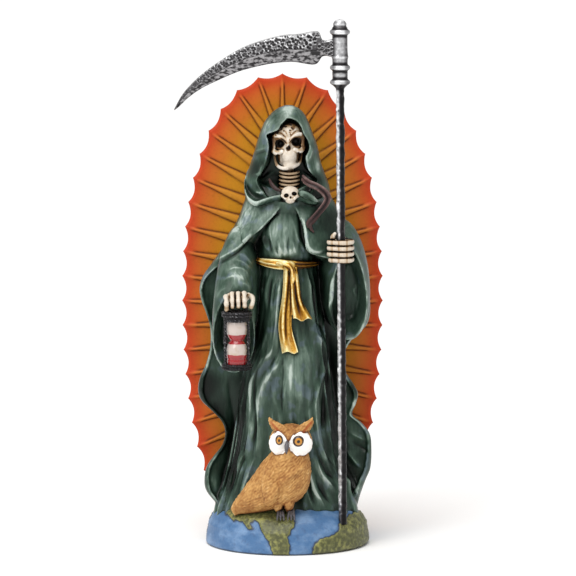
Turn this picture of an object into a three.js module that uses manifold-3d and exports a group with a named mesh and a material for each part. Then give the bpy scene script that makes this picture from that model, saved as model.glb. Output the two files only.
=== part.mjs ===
// A painted resin figurine: a hooded, robed skeleton stands on a slice of a globe, in front of a scalloped
// panel of rays. It holds a scythe and an hourglass, and an owl sits at its feet.
// Millimetres, +Z up, the figure faces -Y, and the origin is under the middle of the base.
import * as THREE from "three";
import { mergeVertices } from "three/addons/utils/BufferGeometryUtils.js";
import Module from "manifold-3d";

const wasm = await Module();
wasm.setup();

// Driving dimensions
const clearance = 0.3; // between two castings that touch
const figureHeight = 222; // from the crown of the base to the top of the hood
const baseRadius = 46.5;
const baseRimHeight = 12; // height of the globe's surface at its edge
const baseCrownHeight = 30; // height of the globe's surface at its middle
const baseChamfer = 1.2;
const panelWidth = 116; // over the tips of the scallops
const panelTopHeight = 268.5; // the top tip above the underside
const panelThickness = 5.5;
const rayCount = 46; // scallops, and so rays, all the way round
const scallopDepth = 2.4;
const rayHeight = 1.3;
const rayDish = 1.1; // how much deeper the panel's edge is between two rays
const overallHeight = 302; // to the tip of the scythe's finial
const staffRadius = 2.3;
const socketRadius = 4.3; // the sleeve at the top of the staff
const socketRingRadius = 5.7;
const bladeReach = 93.2; // from the staff to the tip of the blade
const bladeThickness = 3.4;
const hourglassHeight = 33; // over its two plates
const hourglassPlateRadius = 8.6;
const hourglassPlateThickness = 2.6;
const hourglassPostRadius = 1.1;
const hourglassBulbRadius = 5.6;
const hourglassNeckRadius = 2.6;
const hourglassHandleRadius = 1.6;
const owlHeight = 57.5;
const owlPlaceX = -1; // between the owl's feet
const owlPlaceY = -38.5;

// Number of points round and along the larger forms
const globeSides = 40;
const cloakSteps = 10;
const cloakRise = 12.7; // height between two rings
const hoodSides = 12;
const coneSides = 16;

const degree = Math.PI / 180;
const clamp = THREE.MathUtils.clamp;
const smooth = THREE.MathUtils.smoothstep;

// A value that follows [place, value] keys smoothly, and stays level beyond them.
function follow(keys, place) {
  const last = keys.length - 1;
  if (place <= keys[0][0]) return keys[0][1];
  if (place >= keys[last][0]) return keys[last][1];
  let i = 0;
  while (place > keys[i + 1][0]) i += 1;
  const slope = (n) => {
    const before = keys[Math.max(n - 1, 0)];
    const after = keys[Math.min(n + 1, last)];
    return (after[1] - before[1]) / (after[0] - before[0]);
  };
  const [x0, y0] = keys[i];
  const [x1, y1] = keys[i + 1];
  const width = x1 - x0;
  const t = (place - x0) / width;
  const t2 = t * t;
  const t3 = t2 * t;
  return (
    y0 * (2 * t3 - 3 * t2 + 1) +
    slope(i) * width * (t3 - 2 * t2 + t) +
    y1 * (3 * t2 - 2 * t3) +
    slope(i + 1) * width * (t3 - t2)
  );
}

// Heights from low to high, step apart at most, both ends included.
function levels(low, high, step) {
  const count = Math.ceil((high - low) / step);
  return Array.from({ length: count + 1 }, (_, i) => low + ((high - low) * i) / count);
}

// A manifold solid from a three.js geometry, turned right side out.
function solidOf(geometry) {
  const bare = geometry.index ? geometry.toNonIndexed() : geometry.clone();
  const only = new THREE.BufferGeometry().setAttribute("position", bare.getAttribute("position"));
  const merged = mergeVertices(only, 1e-4);
  const vertices = merged.attributes.position.array;
  const corners = Array.from(merged.index.array);
  const faces = [];
  for (let i = 0; i < corners.length; i += 3) {
    const [a, b, c] = corners.slice(i, i + 3);
    if (a !== b && b !== c && c !== a) faces.push(a, b, c);
  }
  const build = () =>
    new wasm.Manifold(
      new wasm.Mesh({ numProp: 3, vertProperties: vertices, triVerts: new Uint32Array(faces) }),
    );
  const solid = build();
  if (solid.volume() > 0) return solid;
  for (let i = 0; i < faces.length; i += 3) [faces[i + 1], faces[i + 2]] = [faces[i + 2], faces[i + 1]];
  return build();
}

function geometryOf(solid) {
  const mesh = solid.getMesh();
  const geometry = new THREE.BufferGeometry();
  const count = mesh.vertProperties.length / mesh.numProp;
  const positions = new Float32Array(count * 3);
  for (let i = 0; i < count; i += 1) {
    positions.set(mesh.vertProperties.subarray(i * mesh.numProp, i * mesh.numProp + 3), i * 3);
  }
  geometry.setAttribute("position", new THREE.BufferAttribute(positions, 3));
  geometry.setIndex(new THREE.BufferAttribute(new Uint32Array(mesh.triVerts), 1));
  const faceted = geometry.toNonIndexed();
  faceted.computeVertexNormals();
  return faceted;
}

const join = (solids) => solids.reduce((whole, piece) => whole.add(piece));

// A closed skin through rings that each have the same number of points. Each end is closed by a strip
// between the first half of its ring and the second half.
function loft(rings) {
  const sides = rings[0].length;
  const faces = [];
  for (let r = 0; r + 1 < rings.length; r += 1) {
    for (let s = 0; s < sides; s += 1) {
      const next = (s + 1) % sides;
      const a = r * sides + s;
      const b = r * sides + next;
      faces.push(a, b, b + sides, a, b + sides, a + sides);
    }
  }
  const top = (rings.length - 1) * sides;
  for (let near = 0; near + 1 < sides / 2; near += 1) {
    const far = sides - 1 - near;
    faces.push(near, far, near + 1, top + near, top + near + 1, top + far);
    if (far - 1 > near + 1) faces.push(near + 1, far, far - 1, top + near + 1, top + far - 1, top + far);
  }
  return solidOf(new THREE.BufferGeometry().setFromPoints(rings.flat()).setIndex(faces));
}

// A round bar along a smooth curve through points; radii run from the first point to the last.
function bar(points, radii, sides, steps) {
  const curve = new THREE.CatmullRomCurve3(points);
  const frames = curve.computeFrenetFrames(steps, false);
  const rings = [];
  for (let i = 0; i <= steps; i += 1) {
    const t = i / steps;
    const centre = curve.getPointAt(t);
    const radius = follow(radii.map((r, n) => [n / (radii.length - 1), r]), t);
    rings.push(
      Array.from({ length: sides }, (_, s) => {
        const turn = (2 * Math.PI * s) / sides;
        return centre
          .clone()
          .addScaledVector(frames.normals[i], radius * Math.cos(turn))
          .addScaledVector(frames.binormals[i], radius * Math.sin(turn));
      }),
    );
  }
  return loft(rings);
}

function ball(centre, radii, columns = 12, rows = 8) {
  const geometry = new THREE.SphereGeometry(1, columns, rows);
  geometry.scale(radii[0], radii[1], radii[2]);
  geometry.translate(centre.x, centre.y, centre.z);
  return solidOf(geometry);
}

// A solid turned about an upright axis at place, from [radius, height] pairs that start and end on the axis.
function turned(profile, place, sides) {
  const outline = profile.map(([radius, height]) => new THREE.Vector2(radius, height));
  const geometry = new THREE.LatheGeometry(outline, sides);
  geometry.rotateX(90 * degree);
  geometry.translate(place.x, place.y, place.z);
  return solidOf(geometry);
}

// The base: a slice of a globe

const globeShare = 1.032; // the globe's own radius at the slice, as a share of the base's
const rimRise = Math.sqrt(1 - 1 / globeShare ** 2);
const globeRise = (baseCrownHeight - baseRimHeight) / (1 - rimRise);
const globeFoot = baseCrownHeight - globeRise;

const globeHeight = (radius) =>
  globeFoot + globeRise * Math.sqrt(Math.max(0, 1 - (radius / (baseRadius * globeShare)) ** 2));

function globeProfile(extra, bottom) {
  const rings = 6;
  const top = Array.from({ length: rings }, (_, i) => {
    const radius = baseRadius * Math.sin((90 * degree * (rings - 1 - i)) / (rings - 1));
    return [radius + (radius ? extra : 0), globeHeight(radius) + extra];
  });
  return [
    [0, bottom],
    [baseRadius - baseChamfer + extra, bottom],
    [baseRadius + extra, bottom + baseChamfer],
    ...top,
  ];
}

const origin = new THREE.Vector3();
const belowGround = -60;
const makeBase = () => turned(globeProfile(0, 0), origin, globeSides);
const makeGlobeCutter = () => turned(globeProfile(clearance, belowGround), origin, globeSides);

// The figure is laid out at 222 mm tall, on the crown of a base 30 mm high, and scaled from there.
const layoutHeight = 222;
const layoutGround = 30;
const figureScale = figureHeight / layoutHeight;
const place = (x, y, z) =>
  new THREE.Vector3(
    figureScale * x,
    figureScale * y,
    baseCrownHeight + figureScale * (z - layoutGround),
  );
const scaled = (radii) => radii.map((radius) => radius * figureScale);
const backPlane = figureScale * 20; // the front of the panel, which the figure's back meets

// The panel of rays

const panelMiddleX = figureScale * -2.6;
const panelMiddleZ = 0.524 * panelTopHeight;
const panelLowReach = 1.18; // how far the outline reaches below its middle, against above
const panelPower = 2.28; // 2 would be an ellipse
const rayFocus = 0.72; // each ray aims this share of its tip's height off the middle
const rayFocusZ = -0.045 * panelTopHeight;

// The panel's plain outline: where it is at a turn from the top, without scallops.
function panelOutline(turn) {
  const across = Math.sin(turn);
  const up = Math.cos(turn);
  const half = panelTopHeight - panelMiddleZ;
  const reach = up < 0 ? half * panelLowReach : half;
  const power = (value) => Math.sign(value) * Math.abs(value) ** (2 / panelPower);
  return new THREE.Vector2((panelWidth / 2) * power(across), reach * power(up));
}

// Turns of the outline that are the same length apart, so that every scallop is as wide.
function evenTurns(count) {
  const fine = 1200;
  const lengths = [0];
  for (let i = 1; i <= fine; i += 1) {
    const a = panelOutline(((i - 1) * 2 * Math.PI) / fine);
    const b = panelOutline((i * 2 * Math.PI) / fine);
    lengths.push(lengths[i - 1] + a.distanceTo(b));
  }
  const turns = [];
  let n = 0;
  for (let i = 0; i < count; i += 1) {
    const wanted = (lengths[fine] * i) / count;
    while (lengths[n + 1] < wanted) n += 1;
    const share = (wanted - lengths[n]) / (lengths[n + 1] - lengths[n]);
    turns.push(((n + share) * 2 * Math.PI) / fine);
  }
  return turns;
}

// Columns of points run from the core of the panel to its edge: on each ray, and at two places between rays.
function makePanel() {
  const between = [0, 0.28, 0.72];
  const rows = [0, 1];
  const turns = evenTurns(rayCount * between.length);
  const back = backPlane + panelThickness;
  const front = [];
  turns.forEach((turn, column) => {
    const ray = Math.floor(column / between.length);
    const share = between[column % between.length];
    const exact = ray * between.length + share * between.length;
    const before = turns[Math.floor(exact)];
    const after = turns[Math.floor(exact) + 1] ?? 2 * Math.PI;
    const here = before + (after - before) * (exact - Math.floor(exact));
    const plain = panelOutline(here);
    const dip = Math.sin(Math.PI * share) ** 0.8;
    const core = new THREE.Vector2(0, plain.y * rayFocus + rayFocusZ * (1 - rayFocus));
    const inward = core.clone().sub(plain).normalize();
    const edge = plain.clone().addScaledVector(inward, scallopDepth * dip);
    rows.forEach((row) => {
      const crest = share === 0 ? 0.8 * rayHeight * row : 0;
      const dish = rayDish * dip * row;
      const point = core.clone().lerp(edge, row);
      front.push([
        new THREE.Vector3(point.x, backPlane + rayHeight - crest + dish, point.y),
        new THREE.Vector3(point.x, back, point.y),
      ]);
    });
  });
  const columns = turns.length;
  const last = rows.length - 1;
  const at = (column, row, side) => front[(column % columns) * rows.length + row][side];
  const triangles = [];
  const quad = (a, b, c, d) => triangles.push(a, b, c, a, c, d);
  for (let c = 0; c < columns; c += 1) {
    for (let r = 0; r < last; r += 1) {
      quad(at(c, r, 0), at(c + 1, r, 0), at(c + 1, r + 1, 0), at(c, r + 1, 0));
    }
    quad(at(c, last, 0), at(c + 1, last, 0), at(c + 1, last, 1), at(c, last, 1));
    quad(at(c, last, 1), at(c + 1, last, 1), at(c + 1, 0, 1), at(c, 0, 1));
  }
  const geometry = new THREE.BufferGeometry().setFromPoints(triangles);
  geometry.translate(panelMiddleX, 0, panelMiddleZ);
  return solidOf(geometry).subtract(makeGlobeCutter());
}

// The robe: each form is a stack of level rings. A turn of 0 faces the front, 90 degrees the viewer's right.

const tunicWidth = [
  [12, 41], [22, 40], [34, 35.5], [50, 31.5], [80, 27], [110, 23],
  [142, 19.6], [161, 17], [172, 19], [187, 18.5],
  [199, 14], [209, 8],
];
const tunicFront = [
  [12, 33.5], [22, 32.5], [34, 28], [50, 24.5], [80, 22], [110, 20], [142, 17.6], [161, 15.5], [172, 17.6],
  [188, 17], [199, 13], [209, 8],
];
const tunicBack = 14; // it meets the cloak inside
const tunicLevels = [12, 23, 36, 56, 82, 108, 136, 161, 172, 187, 203];

// Each fold of the tunic: the turn of its ridge at the waist and at the hem, and how far it stands out.
const tunicFolds = [
  [-76, -84, 2.6], [-60, -70, 3.6], [-44, -57, 2.6], [-32, -44, 3.8], [-21, -31, 2.4], [-11, -19, 3.6],
  [-2, -8, 2.4], [7, 3, 3.8], [17, 14, 2.6], [28, 26, 3.8], [41, 39, 2.8], [55, 54, 4], [72, 72, 3],
];
const waistHeight = 162;
const hemHeight = 20;

function tunicRing(z) {
  const down = clamp((waistHeight - z) / (waistHeight - hemHeight), 0, 1);
  const ridges = tunicFolds.map(([waistTurn, hemTurn, height]) => ({
    turn: (waistTurn + (hemTurn - waistTurn) * down ** 0.8) * degree,
    rise: height * (0.32 + 0.68 * down),
  }));
  const last = ridges.at(-1).turn;
  const backTurns = [0.25, 0.5, 0.75].map((share) => last + (2 * Math.PI + ridges[0].turn - last) * share);
  const columns = ridges.flatMap((ridge, i) => {
    const next = ridges[i + 1];
    return next ? [ridge, { turn: (ridge.turn + next.turn) / 2, rise: -0.3 * ridge.rise }] : [ridge];
  });
  backTurns.forEach((turn) => columns.push({ turn, rise: 0 }));
  return columns.map(({ turn, rise }) => {
    const across = follow(tunicWidth, z) + rise;
    const deep = Math.cos(turn) > 0 ? follow(tunicFront, z) + rise : tunicBack;
    return place(across * Math.sin(turn), -deep * Math.cos(turn), z);
  });
}
const makeTunic = () => loft(tunicLevels.map(tunicRing));

// The cloak hangs open at the front. Its half width and the turn of its edge, on the left and right.
const cloakLeft = [
  [12, 36], [20, 39], [30, 46.5], [37, 47.5], [44, 46], [50, 42],
  [56, 37.5], [63, 35.5], [70, 37.5], [76, 43],
  [82, 49], [88, 51], [95, 50], [103, 46.5], [113, 44], [124, 44],
  [133, 46.5], [140, 49], [147, 50], [154, 48],
  [162, 42.5], [172, 35.5], [180, 31.5], [188, 27.5], [195, 25], [202, 22], [209, 16], [214, 8],
];
const cloakRight = [
  [12, 36], [20, 40], [27, 42], [36, 45.2], [43, 48], [55, 48.6],
  [63, 47.5], [69, 43], [74, 37.5], [80, 39.5],
  [86, 40.8], [92, 38], [99, 33.5], [108, 32.5], [117, 37], [125, 45], [132, 47.5], [147, 47], [155, 45.8],
  [163, 43], [170, 40], [178, 36], [187, 32], [195, 28], [202, 23.5], [209, 17], [214, 8],
];
const cloakLeftEdge = [
  [12, 70], [30, 72], [63, 82], [88, 74], [110, 84], [140, 84], [150, 80], [158, 70], [164, 61], [172, 50],
  [180, 35], [187, 22], [195, 9], [200, 7],
];
const cloakRightEdge = [
  [12, 66], [40, 70], [70, 80], [90, 74], [110, 82], [128, 80], [135, 68], [146, 54], [156, 66], [162, 60],
  [166, 34], [170, 18], [180, 17], [190, 13], [196, 9], [200, 7],
];
const cloakFront = [
  [12, 22], [60, 14], [100, 14], [135, 15], [150, 20], [163, 24],
  [175, 24], [187, 20.5], [198, 16], [208, 11],
  [214, 6],
];
const cloakBack = [[12, 22], [190, 22], [203, 18], [214, 8]];
const cloakRimThickness = 2.6;
const cloakHollow = [[12, 30], [130, 34], [160, 16], [214, 10]]; // degrees from its edge to the tunic

function cloakRing(z) {
  const leftEdge = follow(cloakLeftEdge, z) * degree;
  const rightEdge = follow(cloakRightEdge, z) * degree;
  const outer = [];
  const inner = [];
  for (let i = 0; i <= cloakSteps; i += 1) {
    const share = (i / cloakSteps) * 2 - 1;
    const spread = 0.5 + 0.5 * share * (1.3 - 0.3 * share * share); // closer together towards its edges
    const turn = rightEdge + (2 * Math.PI - leftEdge - rightEdge) * spread;
    const side = Math.sin(turn);
    const ahead = Math.cos(turn);
    const across = follow(side > 0 ? cloakRight : cloakLeft, z);
    const deep = follow(ahead > 0 ? cloakFront : cloakBack, z);
    const fromEdge = Math.min(turn - rightEdge, 2 * Math.PI - leftEdge - turn) / degree;
    const filled = smooth(fromEdge, 4, follow(cloakHollow, z));
    const within = (size, tunicSize) => {
      const rim = Math.max(size - cloakRimThickness, 0.4 * size);
      return rim + (Math.min(rim, 0.6 * tunicSize) - rim) * filled;
    };
    outer.push(place(across * side, -deep * ahead, z));
    inner.unshift(place(within(across, follow(tunicWidth, z)) * side, -within(deep, 14) * ahead, z));
  }
  return [...outer, ...inner];
}
const makeCloak = () => loft(levels(12, 214, cloakRise).map(cloakRing));

// A hood whose half width and half depth follow its height, less an opening for the face.
const hoodMiddle = [[186, 0.4], [201, 0.4], [209, -0.3], [218, -0.6], [227, -0.2], [241, -0.3], [252, 1]];
const hoodWidth = [
  [186, 20], [194, 24], [201, 24.3], [207, 23.9], [213, 22], [219, 20], [225, 18.4], [231, 16.8],
  [236, 15], [242, 12.6], [247, 9.4], [250, 6], [252, 1.2],
];
const hoodFront = [
  [186, 15], [200, 17.5], [215, 16.5], [230, 15.6], [240, 12.8], [247, 8.4], [250, 5], [252, 0.8],
];
const hoodBack = [[186, 18], [210, 17.5], [228, 16.5], [240, 13], [247, 8.6], [250, 5.4], [252, 1]];
const hoodLevels = [186, 195, 204, 212, 221, 230, 238, 244, 248.5, 251.3];

function hoodRing(z) {
  return Array.from({ length: hoodSides }, (_, i) => {
    const turn = (2 * Math.PI * i) / hoodSides;
    const deep = follow(Math.cos(turn) > 0 ? hoodFront : hoodBack, z);
    return place(follow(hoodMiddle, z) + follow(hoodWidth, z) * Math.sin(turn), -deep * Math.cos(turn), z);
  });
}

// The opening of the hood, seen from the front: half widths to the left and right at each height.
const faceMiddle = 0.8;
const faceLevels = [198, 205, 211, 218, 226, 232.5, 237.5, 241.5, 246];
const faceLeft = [
  [198, 6], [205, 12], [211, 14.4], [218, 13.4], [226, 11.8], [237, 11.4], [241, 6.4], [246, 2.4],
];
const faceRight = [
  [198, 6], [205, 9], [211, 12], [218, 10.4], [224, 10.6], [229, 12.6],
  [233, 11.6], [238, 9], [242, 7.6], [246, 2.4],
];

function faceOpening() {
  const height = 222; // the slices shrink towards here
  const outline = (shrink) => [
    ...faceLevels.map((z) => [faceMiddle + shrink * follow(faceRight, z), z]),
    ...faceLevels.toReversed().map((z) => [faceMiddle - shrink * follow(faceLeft, z), z]),
  ];
  const slice = (y, shrink) => outline(shrink).map(([x, z]) => place(x, y, height + (z - height) * shrink));
  return loft([slice(-32, 1.08), slice(-12, 0.98), slice(0, 0.82)]);
}
const makeHood = () => loft(hoodLevels.map(hoodRing)).subtract(faceOpening());

// Rolled folds: the cowl round the shoulders, and the lining that turns out beside the clasp.
function makeCowl() {
  const cowlLeft = [
    [0, -17, 201.5], [-8, -18.6, 201], [-17, -17.5, 201],
    [-22, -12, 204.5], [-22.4, -6, 211], [-17, -5, 218],
  ];
  const cowlRight = [[3, -18, 202], [9, -18.6, 201.5], [15, -17, 201.5], [20, -12, 204], [22, -5, 209]];
  const lining = [[10, -15, 210], [17, -18, 206], [22.6, -18.6, 200], [18.4, -21, 192], [12.6, -22, 185.5]];
  const roll = (list, radii, steps) => bar(list.map((p) => place(...p)), radii, 5, steps);
  return join([
    roll(cowlLeft, [3, 3.6, 3.8, 3.2, 1.6], 7),
    roll(cowlRight, [3, 3.4, 3, 2], 5),
    roll(lining, [1.4, 2, 2, 1.4], 6),
  ]);
}

// A wide sleeve, hollow at its mouth. Its sections stand upright, each at its own depth.
function makeSleeve(sections, pear, mouthDepth) {
  const sides = 12;
  const ring = ([y, x, z, across, up, lean], share) =>
    Array.from({ length: sides }, (_, i) => {
      const turn = (2 * Math.PI * i) / sides;
      const wide = 1 - pear * Math.cos(turn) * share;
      return place(
        x + across * wide * Math.sin(turn),
        y + lean * Math.cos(turn),
        z + up * Math.cos(turn),
      );
    });
  const mouth = sections.at(-1);
  const outer = sections.map((section, i) => ring(section, i / (sections.length - 1)));
  const shrunk = (less, back) => {
    const [y, x, z, across, up, lean] = mouth;
    return ring([y + back, x, z, across * less, up * less, lean * less], 1);
  };
  return loft([...outer, shrunk(0.84, 0.6), shrunk(0.74, mouthDepth * 0.5), shrunk(0.5, mouthDepth)]);
}

// Each section is depth, middle across, middle height, half width, half height and lean.
const sleeveLeft = [
  [8, -22, 155, 9, 27, 0], [-2, -26, 152.5, 11.4, 32, 0], [-12, -28.6, 146, 12, 34.5, -1],
  [-20, -30, 134.5, 12.2, 31, -2], [-25, -30.2, 124.4, 12, 23.6, -4],
];
const sleeveRight = [
  [8, 26, 158, 12, 30, 0], [-4, 32, 154.5, 13.5, 32, 0], [-14, 34.6, 149.5, 12.6, 30, 0],
  [-22, 35.2, 146, 10.4, 26.5, -2],
];
const makeSleeves = () => makeSleeve(sleeveLeft, 0.12, 11).add(makeSleeve(sleeveRight, 0.2, 12));

// The sash: a band round the waist, a knot and two tails.
function ribbon(stations) {
  const thick = 1.7;
  return loft(
    stations.map(([x, z, across, proud]) => {
      const y = -(follow(tunicFront, z) + proud);
      const half = across / 2;
      const front = [[-1, 0.6], [-0.5, -0.8], [0, 0.9], [0.5, -0.8], [1, 0.6]];
      return [
        ...front.map(([share, fold]) => place(x + half * share, y - thick + fold, z)),
        place(x + half, y + thick + 1.5, z),
        place(x - half, y + thick + 1.5, z),
      ];
    }),
  );
}

function makeSash() {
  const band = Array.from({ length: 13 }, (_, i) => {
    const turn = (-96 + 16 * i) * degree;
    return place(18.4 * Math.sin(turn), -17 * Math.cos(turn), 163.4 - 1.2 * Math.cos(turn));
  });
  const longTail = [
    [1.8, 162, 4.4, 3], [1, 146, 5, 3.4], [-0.7, 133, 7.4, 3.6], [-0.7, 125, 8.6, 3.6], [1.8, 112.9, 9.4, 3],
  ];
  const shortTail = [[2.8, 162, 4.6, 3.4], [3.6, 150, 5, 4], [5.8, 140, 8, 4.4], [8.8, 131.8, 11, 4]];
  return join([
    bar(band, [2, 2.5, 2.2], 5, 9),
    ball(place(1.4, -19.2, 162), scaled([4.2, 2.8, 3.2]), 6, 4),
    ribbon(longTail),
    ribbon(shortTail),
  ]);
}

// Bones

function makeSkull() {
  const whole = join([
    ball(place(0.6, -0.6, 233.6), scaled([9.5, 11, 9.9]), 9, 6),
    ball(place(0.6, -6.6, 228.4), scaled([9.2, 6.6, 5]), 7, 4),
    ball(place(1.6, -9.6, 222.4), scaled([4.6, 5.2, 5.2]), 7, 5),
    ball(place(1.8, -7.6, 218.2), scaled([6.4, 6, 3.4]), 7, 4),
  ]);
  const sockets = [-4.1, 4.7].map((x) => ball(place(x, -13, 231.6), scaled([3, 4.6, 2.8]), 6, 4));
  const cheeks = [-5.6, 8.4].map((x) => ball(place(x, -9.6, 221.8), scaled([2, 4.4, 3]), 5, 3));
  const nose = ball(place(0.9, -14.6, 227.4), scaled([1.4, 2.8, 1.9]), 4, 3);
  const neck = [199.6, 204.6, 209.6].map((z) => ball(place(1.4, -7.4, z), scaled([4.8, 4.6, 3]), 6, 3));
  return whole.subtract(join([...sockets, ...cheeks, nose])).add(join(neck));
}

function makeClasp() {
  const x = 1.8;
  const head = ball(place(x, -20, 203.4), scaled([5, 3.6, 4.2]), 8, 5);
  const jaw = ball(place(x, -20.6, 199.4), scaled([2.7, 2.8, 2.6]), 6, 4);
  const sockets = [-1, 1].map((side) =>
    ball(place(x + 2.3 * side, -23.6, 202.8), scaled([1.4, 1.8, 1.3]), 4, 3),
  );
  return head.add(jaw).subtract(join(sockets));
}

// The hand that holds the staff: four fingers lie across it, and the thumb points up beside it.
const staffX = figureScale * 30.6;
const staffY = figureScale * -29.5;
const staffLean = -0.0074; // across for each millimetre of height
const leanPivot = 164; // the height where the staff is at staffX
const staffLine = (z) => staffX + staffLean * (z - leanPivot);
const handHeight = 171.2;

function makeStaffHand() {
  const z = handHeight;
  const x = staffLine(place(0, 0, z).z) / figureScale;
  const y = staffY / figureScale;
  const at = ([dx, dy, dz]) => place(x + dx, y + dy, z + dz);
  const fingers = [0, 1, 2, 3].map((i) => {
    const rise = 4.9 - 3.3 * i;
    const short = i === 3 ? 0.9 : 1;
    const tip = -6.2 * short;
    const path = [[3.4, 6.4], [5.6, 1.4], [4.8, -3], [0.4, -4.4], [-4.4, -3.6], [tip, -0.6], [-4, 4.6]];
    return bar(path.map(([dx, dy]) => at([dx, dy, rise])), [1.6, 1.4, 1.6, 1.3, 1.5], 5, 4);
  });
  const palm = ball(at([1.4, 6.4, 0]), scaled([5.6, 3.4, 7.6]), 6, 4);
  const thumb = bar([[-3.4, 3, 3], [-4.4, -1.6, 6], [-4, -2.4, 9]].map(at), [1.5, 1.3, 1], 5, 3);
  const wrist = bar([[2.5, 8, -1], [5, 24, -6]].map(at), [4, 3.6], 6, 1);
  return join([...fingers, palm, thumb, wrist]);
}

// The hand that holds the hourglass by its handle, with its knuckles to the front.
const glassX = figureScale * -28.2;
const glassY = figureScale * -37.5;
const glassTop = place(0, 0, 138).z; // the top of the upper plate
const handleHeight = figureScale * 5.4;

function makeGlassHand() {
  const x = glassX / figureScale;
  const y = glassY / figureScale;
  const knuckles = 149; // height of the knuckles
  const at = ([dx, dy, dz]) => place(x + dx, y + dy, knuckles + dz);
  const fingers = [0, 1, 2, 3].map((i) => {
    const dx = -5.8 + 3.4 * i;
    const top = i === 0 ? -1.6 : -0.2 + 0.2 * i;
    const path = [[6.5, top - 2.6], [0.5, top], [-4, top - 3.4], [-4.4, top - 7.6], [-1.4, top - 9.2]];
    return bar(path.map(([dy, dz]) => at([dx - 0.12 * dz, dy, dz])), [1.6, 1.4, 1.6, 1.4, 1.1], 5, 4);
  });
  const palm = ball(at([0, 6.4, -3]), scaled([7.4, 4.4, 3.6]), 6, 4);
  const thumb = bar([[7, 5, -2.6], [9.4, -0.5, -4.2], [8.2, -2.6, -8.4]].map(at), [1.5, 1.4, 1.1], 5, 3);
  const wrist = bar([[-0.4, 8, -3], [2, 26, 3]].map(at), [4, 4.4], 6, 1);
  return join([...fingers, palm, thumb, wrist]);
}

// The hourglass: two plates, four posts, two bulbs and a handle on top
function makeHourglass(extra = 0) {
  const sides = 10;
  const low = glassTop - hourglassHeight;
  const plate = hourglassPlateThickness;
  const middle = glassTop - hourglassHeight / 2;
  const centre = new THREE.Vector3(glassX, glassY, 0);
  const disc = (z) =>
    turned(
      [
        [0, z - extra],
        [hourglassPlateRadius + extra, z - extra],
        [hourglassPlateRadius + extra, z + plate * 0.6],
        [hourglassPlateRadius - 0.8 + extra, z + plate + extra],
        [0, z + plate + extra],
      ],
      centre,
      sides,
    );
  const bulbHalf = hourglassHeight / 2 - plate + 0.4;
  const bulbs = [-1, -0.86, -0.5, 0, 0.5, 0.86, 1].map((share) => {
    const round = Math.sin(Math.PI * Math.min(1, Math.abs(share))) ** 0.7;
    const body = share === 0 ? 0 : round * (hourglassBulbRadius - hourglassNeckRadius);
    const end = Math.abs(share) > 0.9 ? 0.8 * (hourglassBulbRadius - hourglassNeckRadius) : 0;
    return [hourglassNeckRadius + Math.max(body, end) + extra, middle + share * bulbHalf];
  });
  const posts = [45, 135, 225, 315].map((turn) => {
    const out = hourglassPlateRadius - hourglassPostRadius - 0.5;
    const at = centre
      .clone()
      .add(new THREE.Vector3(out * Math.cos(turn * degree), out * Math.sin(turn * degree), 0));
    const post = hourglassPostRadius + extra;
    const profile = [
      [0, low + 0.5], [post, low + 0.5], [post, middle - 2], [post * 1.35, middle], [post, middle + 2],
      [post, glassTop - 0.5], [0, glassTop - 0.5],
    ];
    return turned(profile, at, 5);
  });
  const foot = hourglassPlateRadius * 0.63; // half the span of the handle
  const shoulder = handleHeight * 0.63;
  const hoop = [[-1, -1.5], [-0.85, shoulder], [0, handleHeight], [0.85, shoulder], [1, -1.5]];
  const handle = bar(
    hoop.map(([share, dz]) => new THREE.Vector3(glassX + foot * share, glassY, glassTop + dz)),
    [hourglassHandleRadius + extra, hourglassHandleRadius + extra],
    6,
    6,
  );
  const glass = turned([[0, bulbs[0][1]], ...bulbs, [0, bulbs.at(-1)[1]]], centre, sides);
  return join([disc(low), disc(glassTop - plate), glass, ...posts, handle]);
}

// The scythe
const footZ = globeHeight(Math.hypot(staffX, staffY)) - 2; // below the globe's surface, which trims it
const staffLength = overallHeight - footZ;
const socketShares = { bottom: 0.876, ring: 0.9045, top: 0.974, blade: 0.9425 }; // heights along the staff

function makeStaff(extra = 0) {
  const sides = 9;
  const at = (share) => footZ + staffLength * share;
  const ring = (share, half = 1.5) => [
    [socketRadius + extra, at(share) - half],
    [socketRingRadius + extra, at(share) - half * 0.4],
    [socketRingRadius + extra, at(share) + half * 0.4],
    [socketRadius + extra, at(share) + half],
  ];
  const profile = [
    [staffRadius + extra, footZ - extra],
    [staffRadius + extra, at(socketShares.bottom) - 2.2],
    ...ring(socketShares.bottom),
    ...ring(socketShares.ring),
    ...ring(socketShares.top),
    [socketRadius * 0.95 + extra, at(0.981)],
    [socketRadius * 0.82 + extra, at(0.9905)],
    [socketRadius * 0.5 + extra, at(0.997)],
    [socketRadius * 0.15 + extra, at(1) + extra],
  ];
  return loft(
    profile.map(([radius, z]) =>
      Array.from({ length: sides }, (_, i) => {
        const turn = (2 * Math.PI * i) / sides;
        const x = staffLine(z) + radius * Math.sin(turn);
        return new THREE.Vector3(x, staffY - radius * Math.cos(turn), z);
      }),
    ),
  );
}

// The blade's upper and lower edge, each place as [from the staff, up] in shares of the reach.
const bladeUpper = [
  [0.02, 0.07], [0.06, 0.051], [0.105, 0.051], [0.136, 0.101],
  [0.244, 0.086], [0.36, 0.075], [0.513, 0.033],
  [0.62, -0.014], [0.743, -0.091], [0.835, -0.16], [0.9, -0.222], [0.951, -0.283], [1, -0.37],
];
const bladeLower = [
  [0.02, -0.07], [0.06, -0.051], [0.105, -0.051], [0.152, -0.098],
  [0.282, -0.083], [0.398, -0.091], [0.513, -0.114],
  [0.62, -0.145], [0.743, -0.198], [0.835, -0.244], [0.912, -0.298], [0.966, -0.35], [0.996, -0.374],
];

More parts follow.
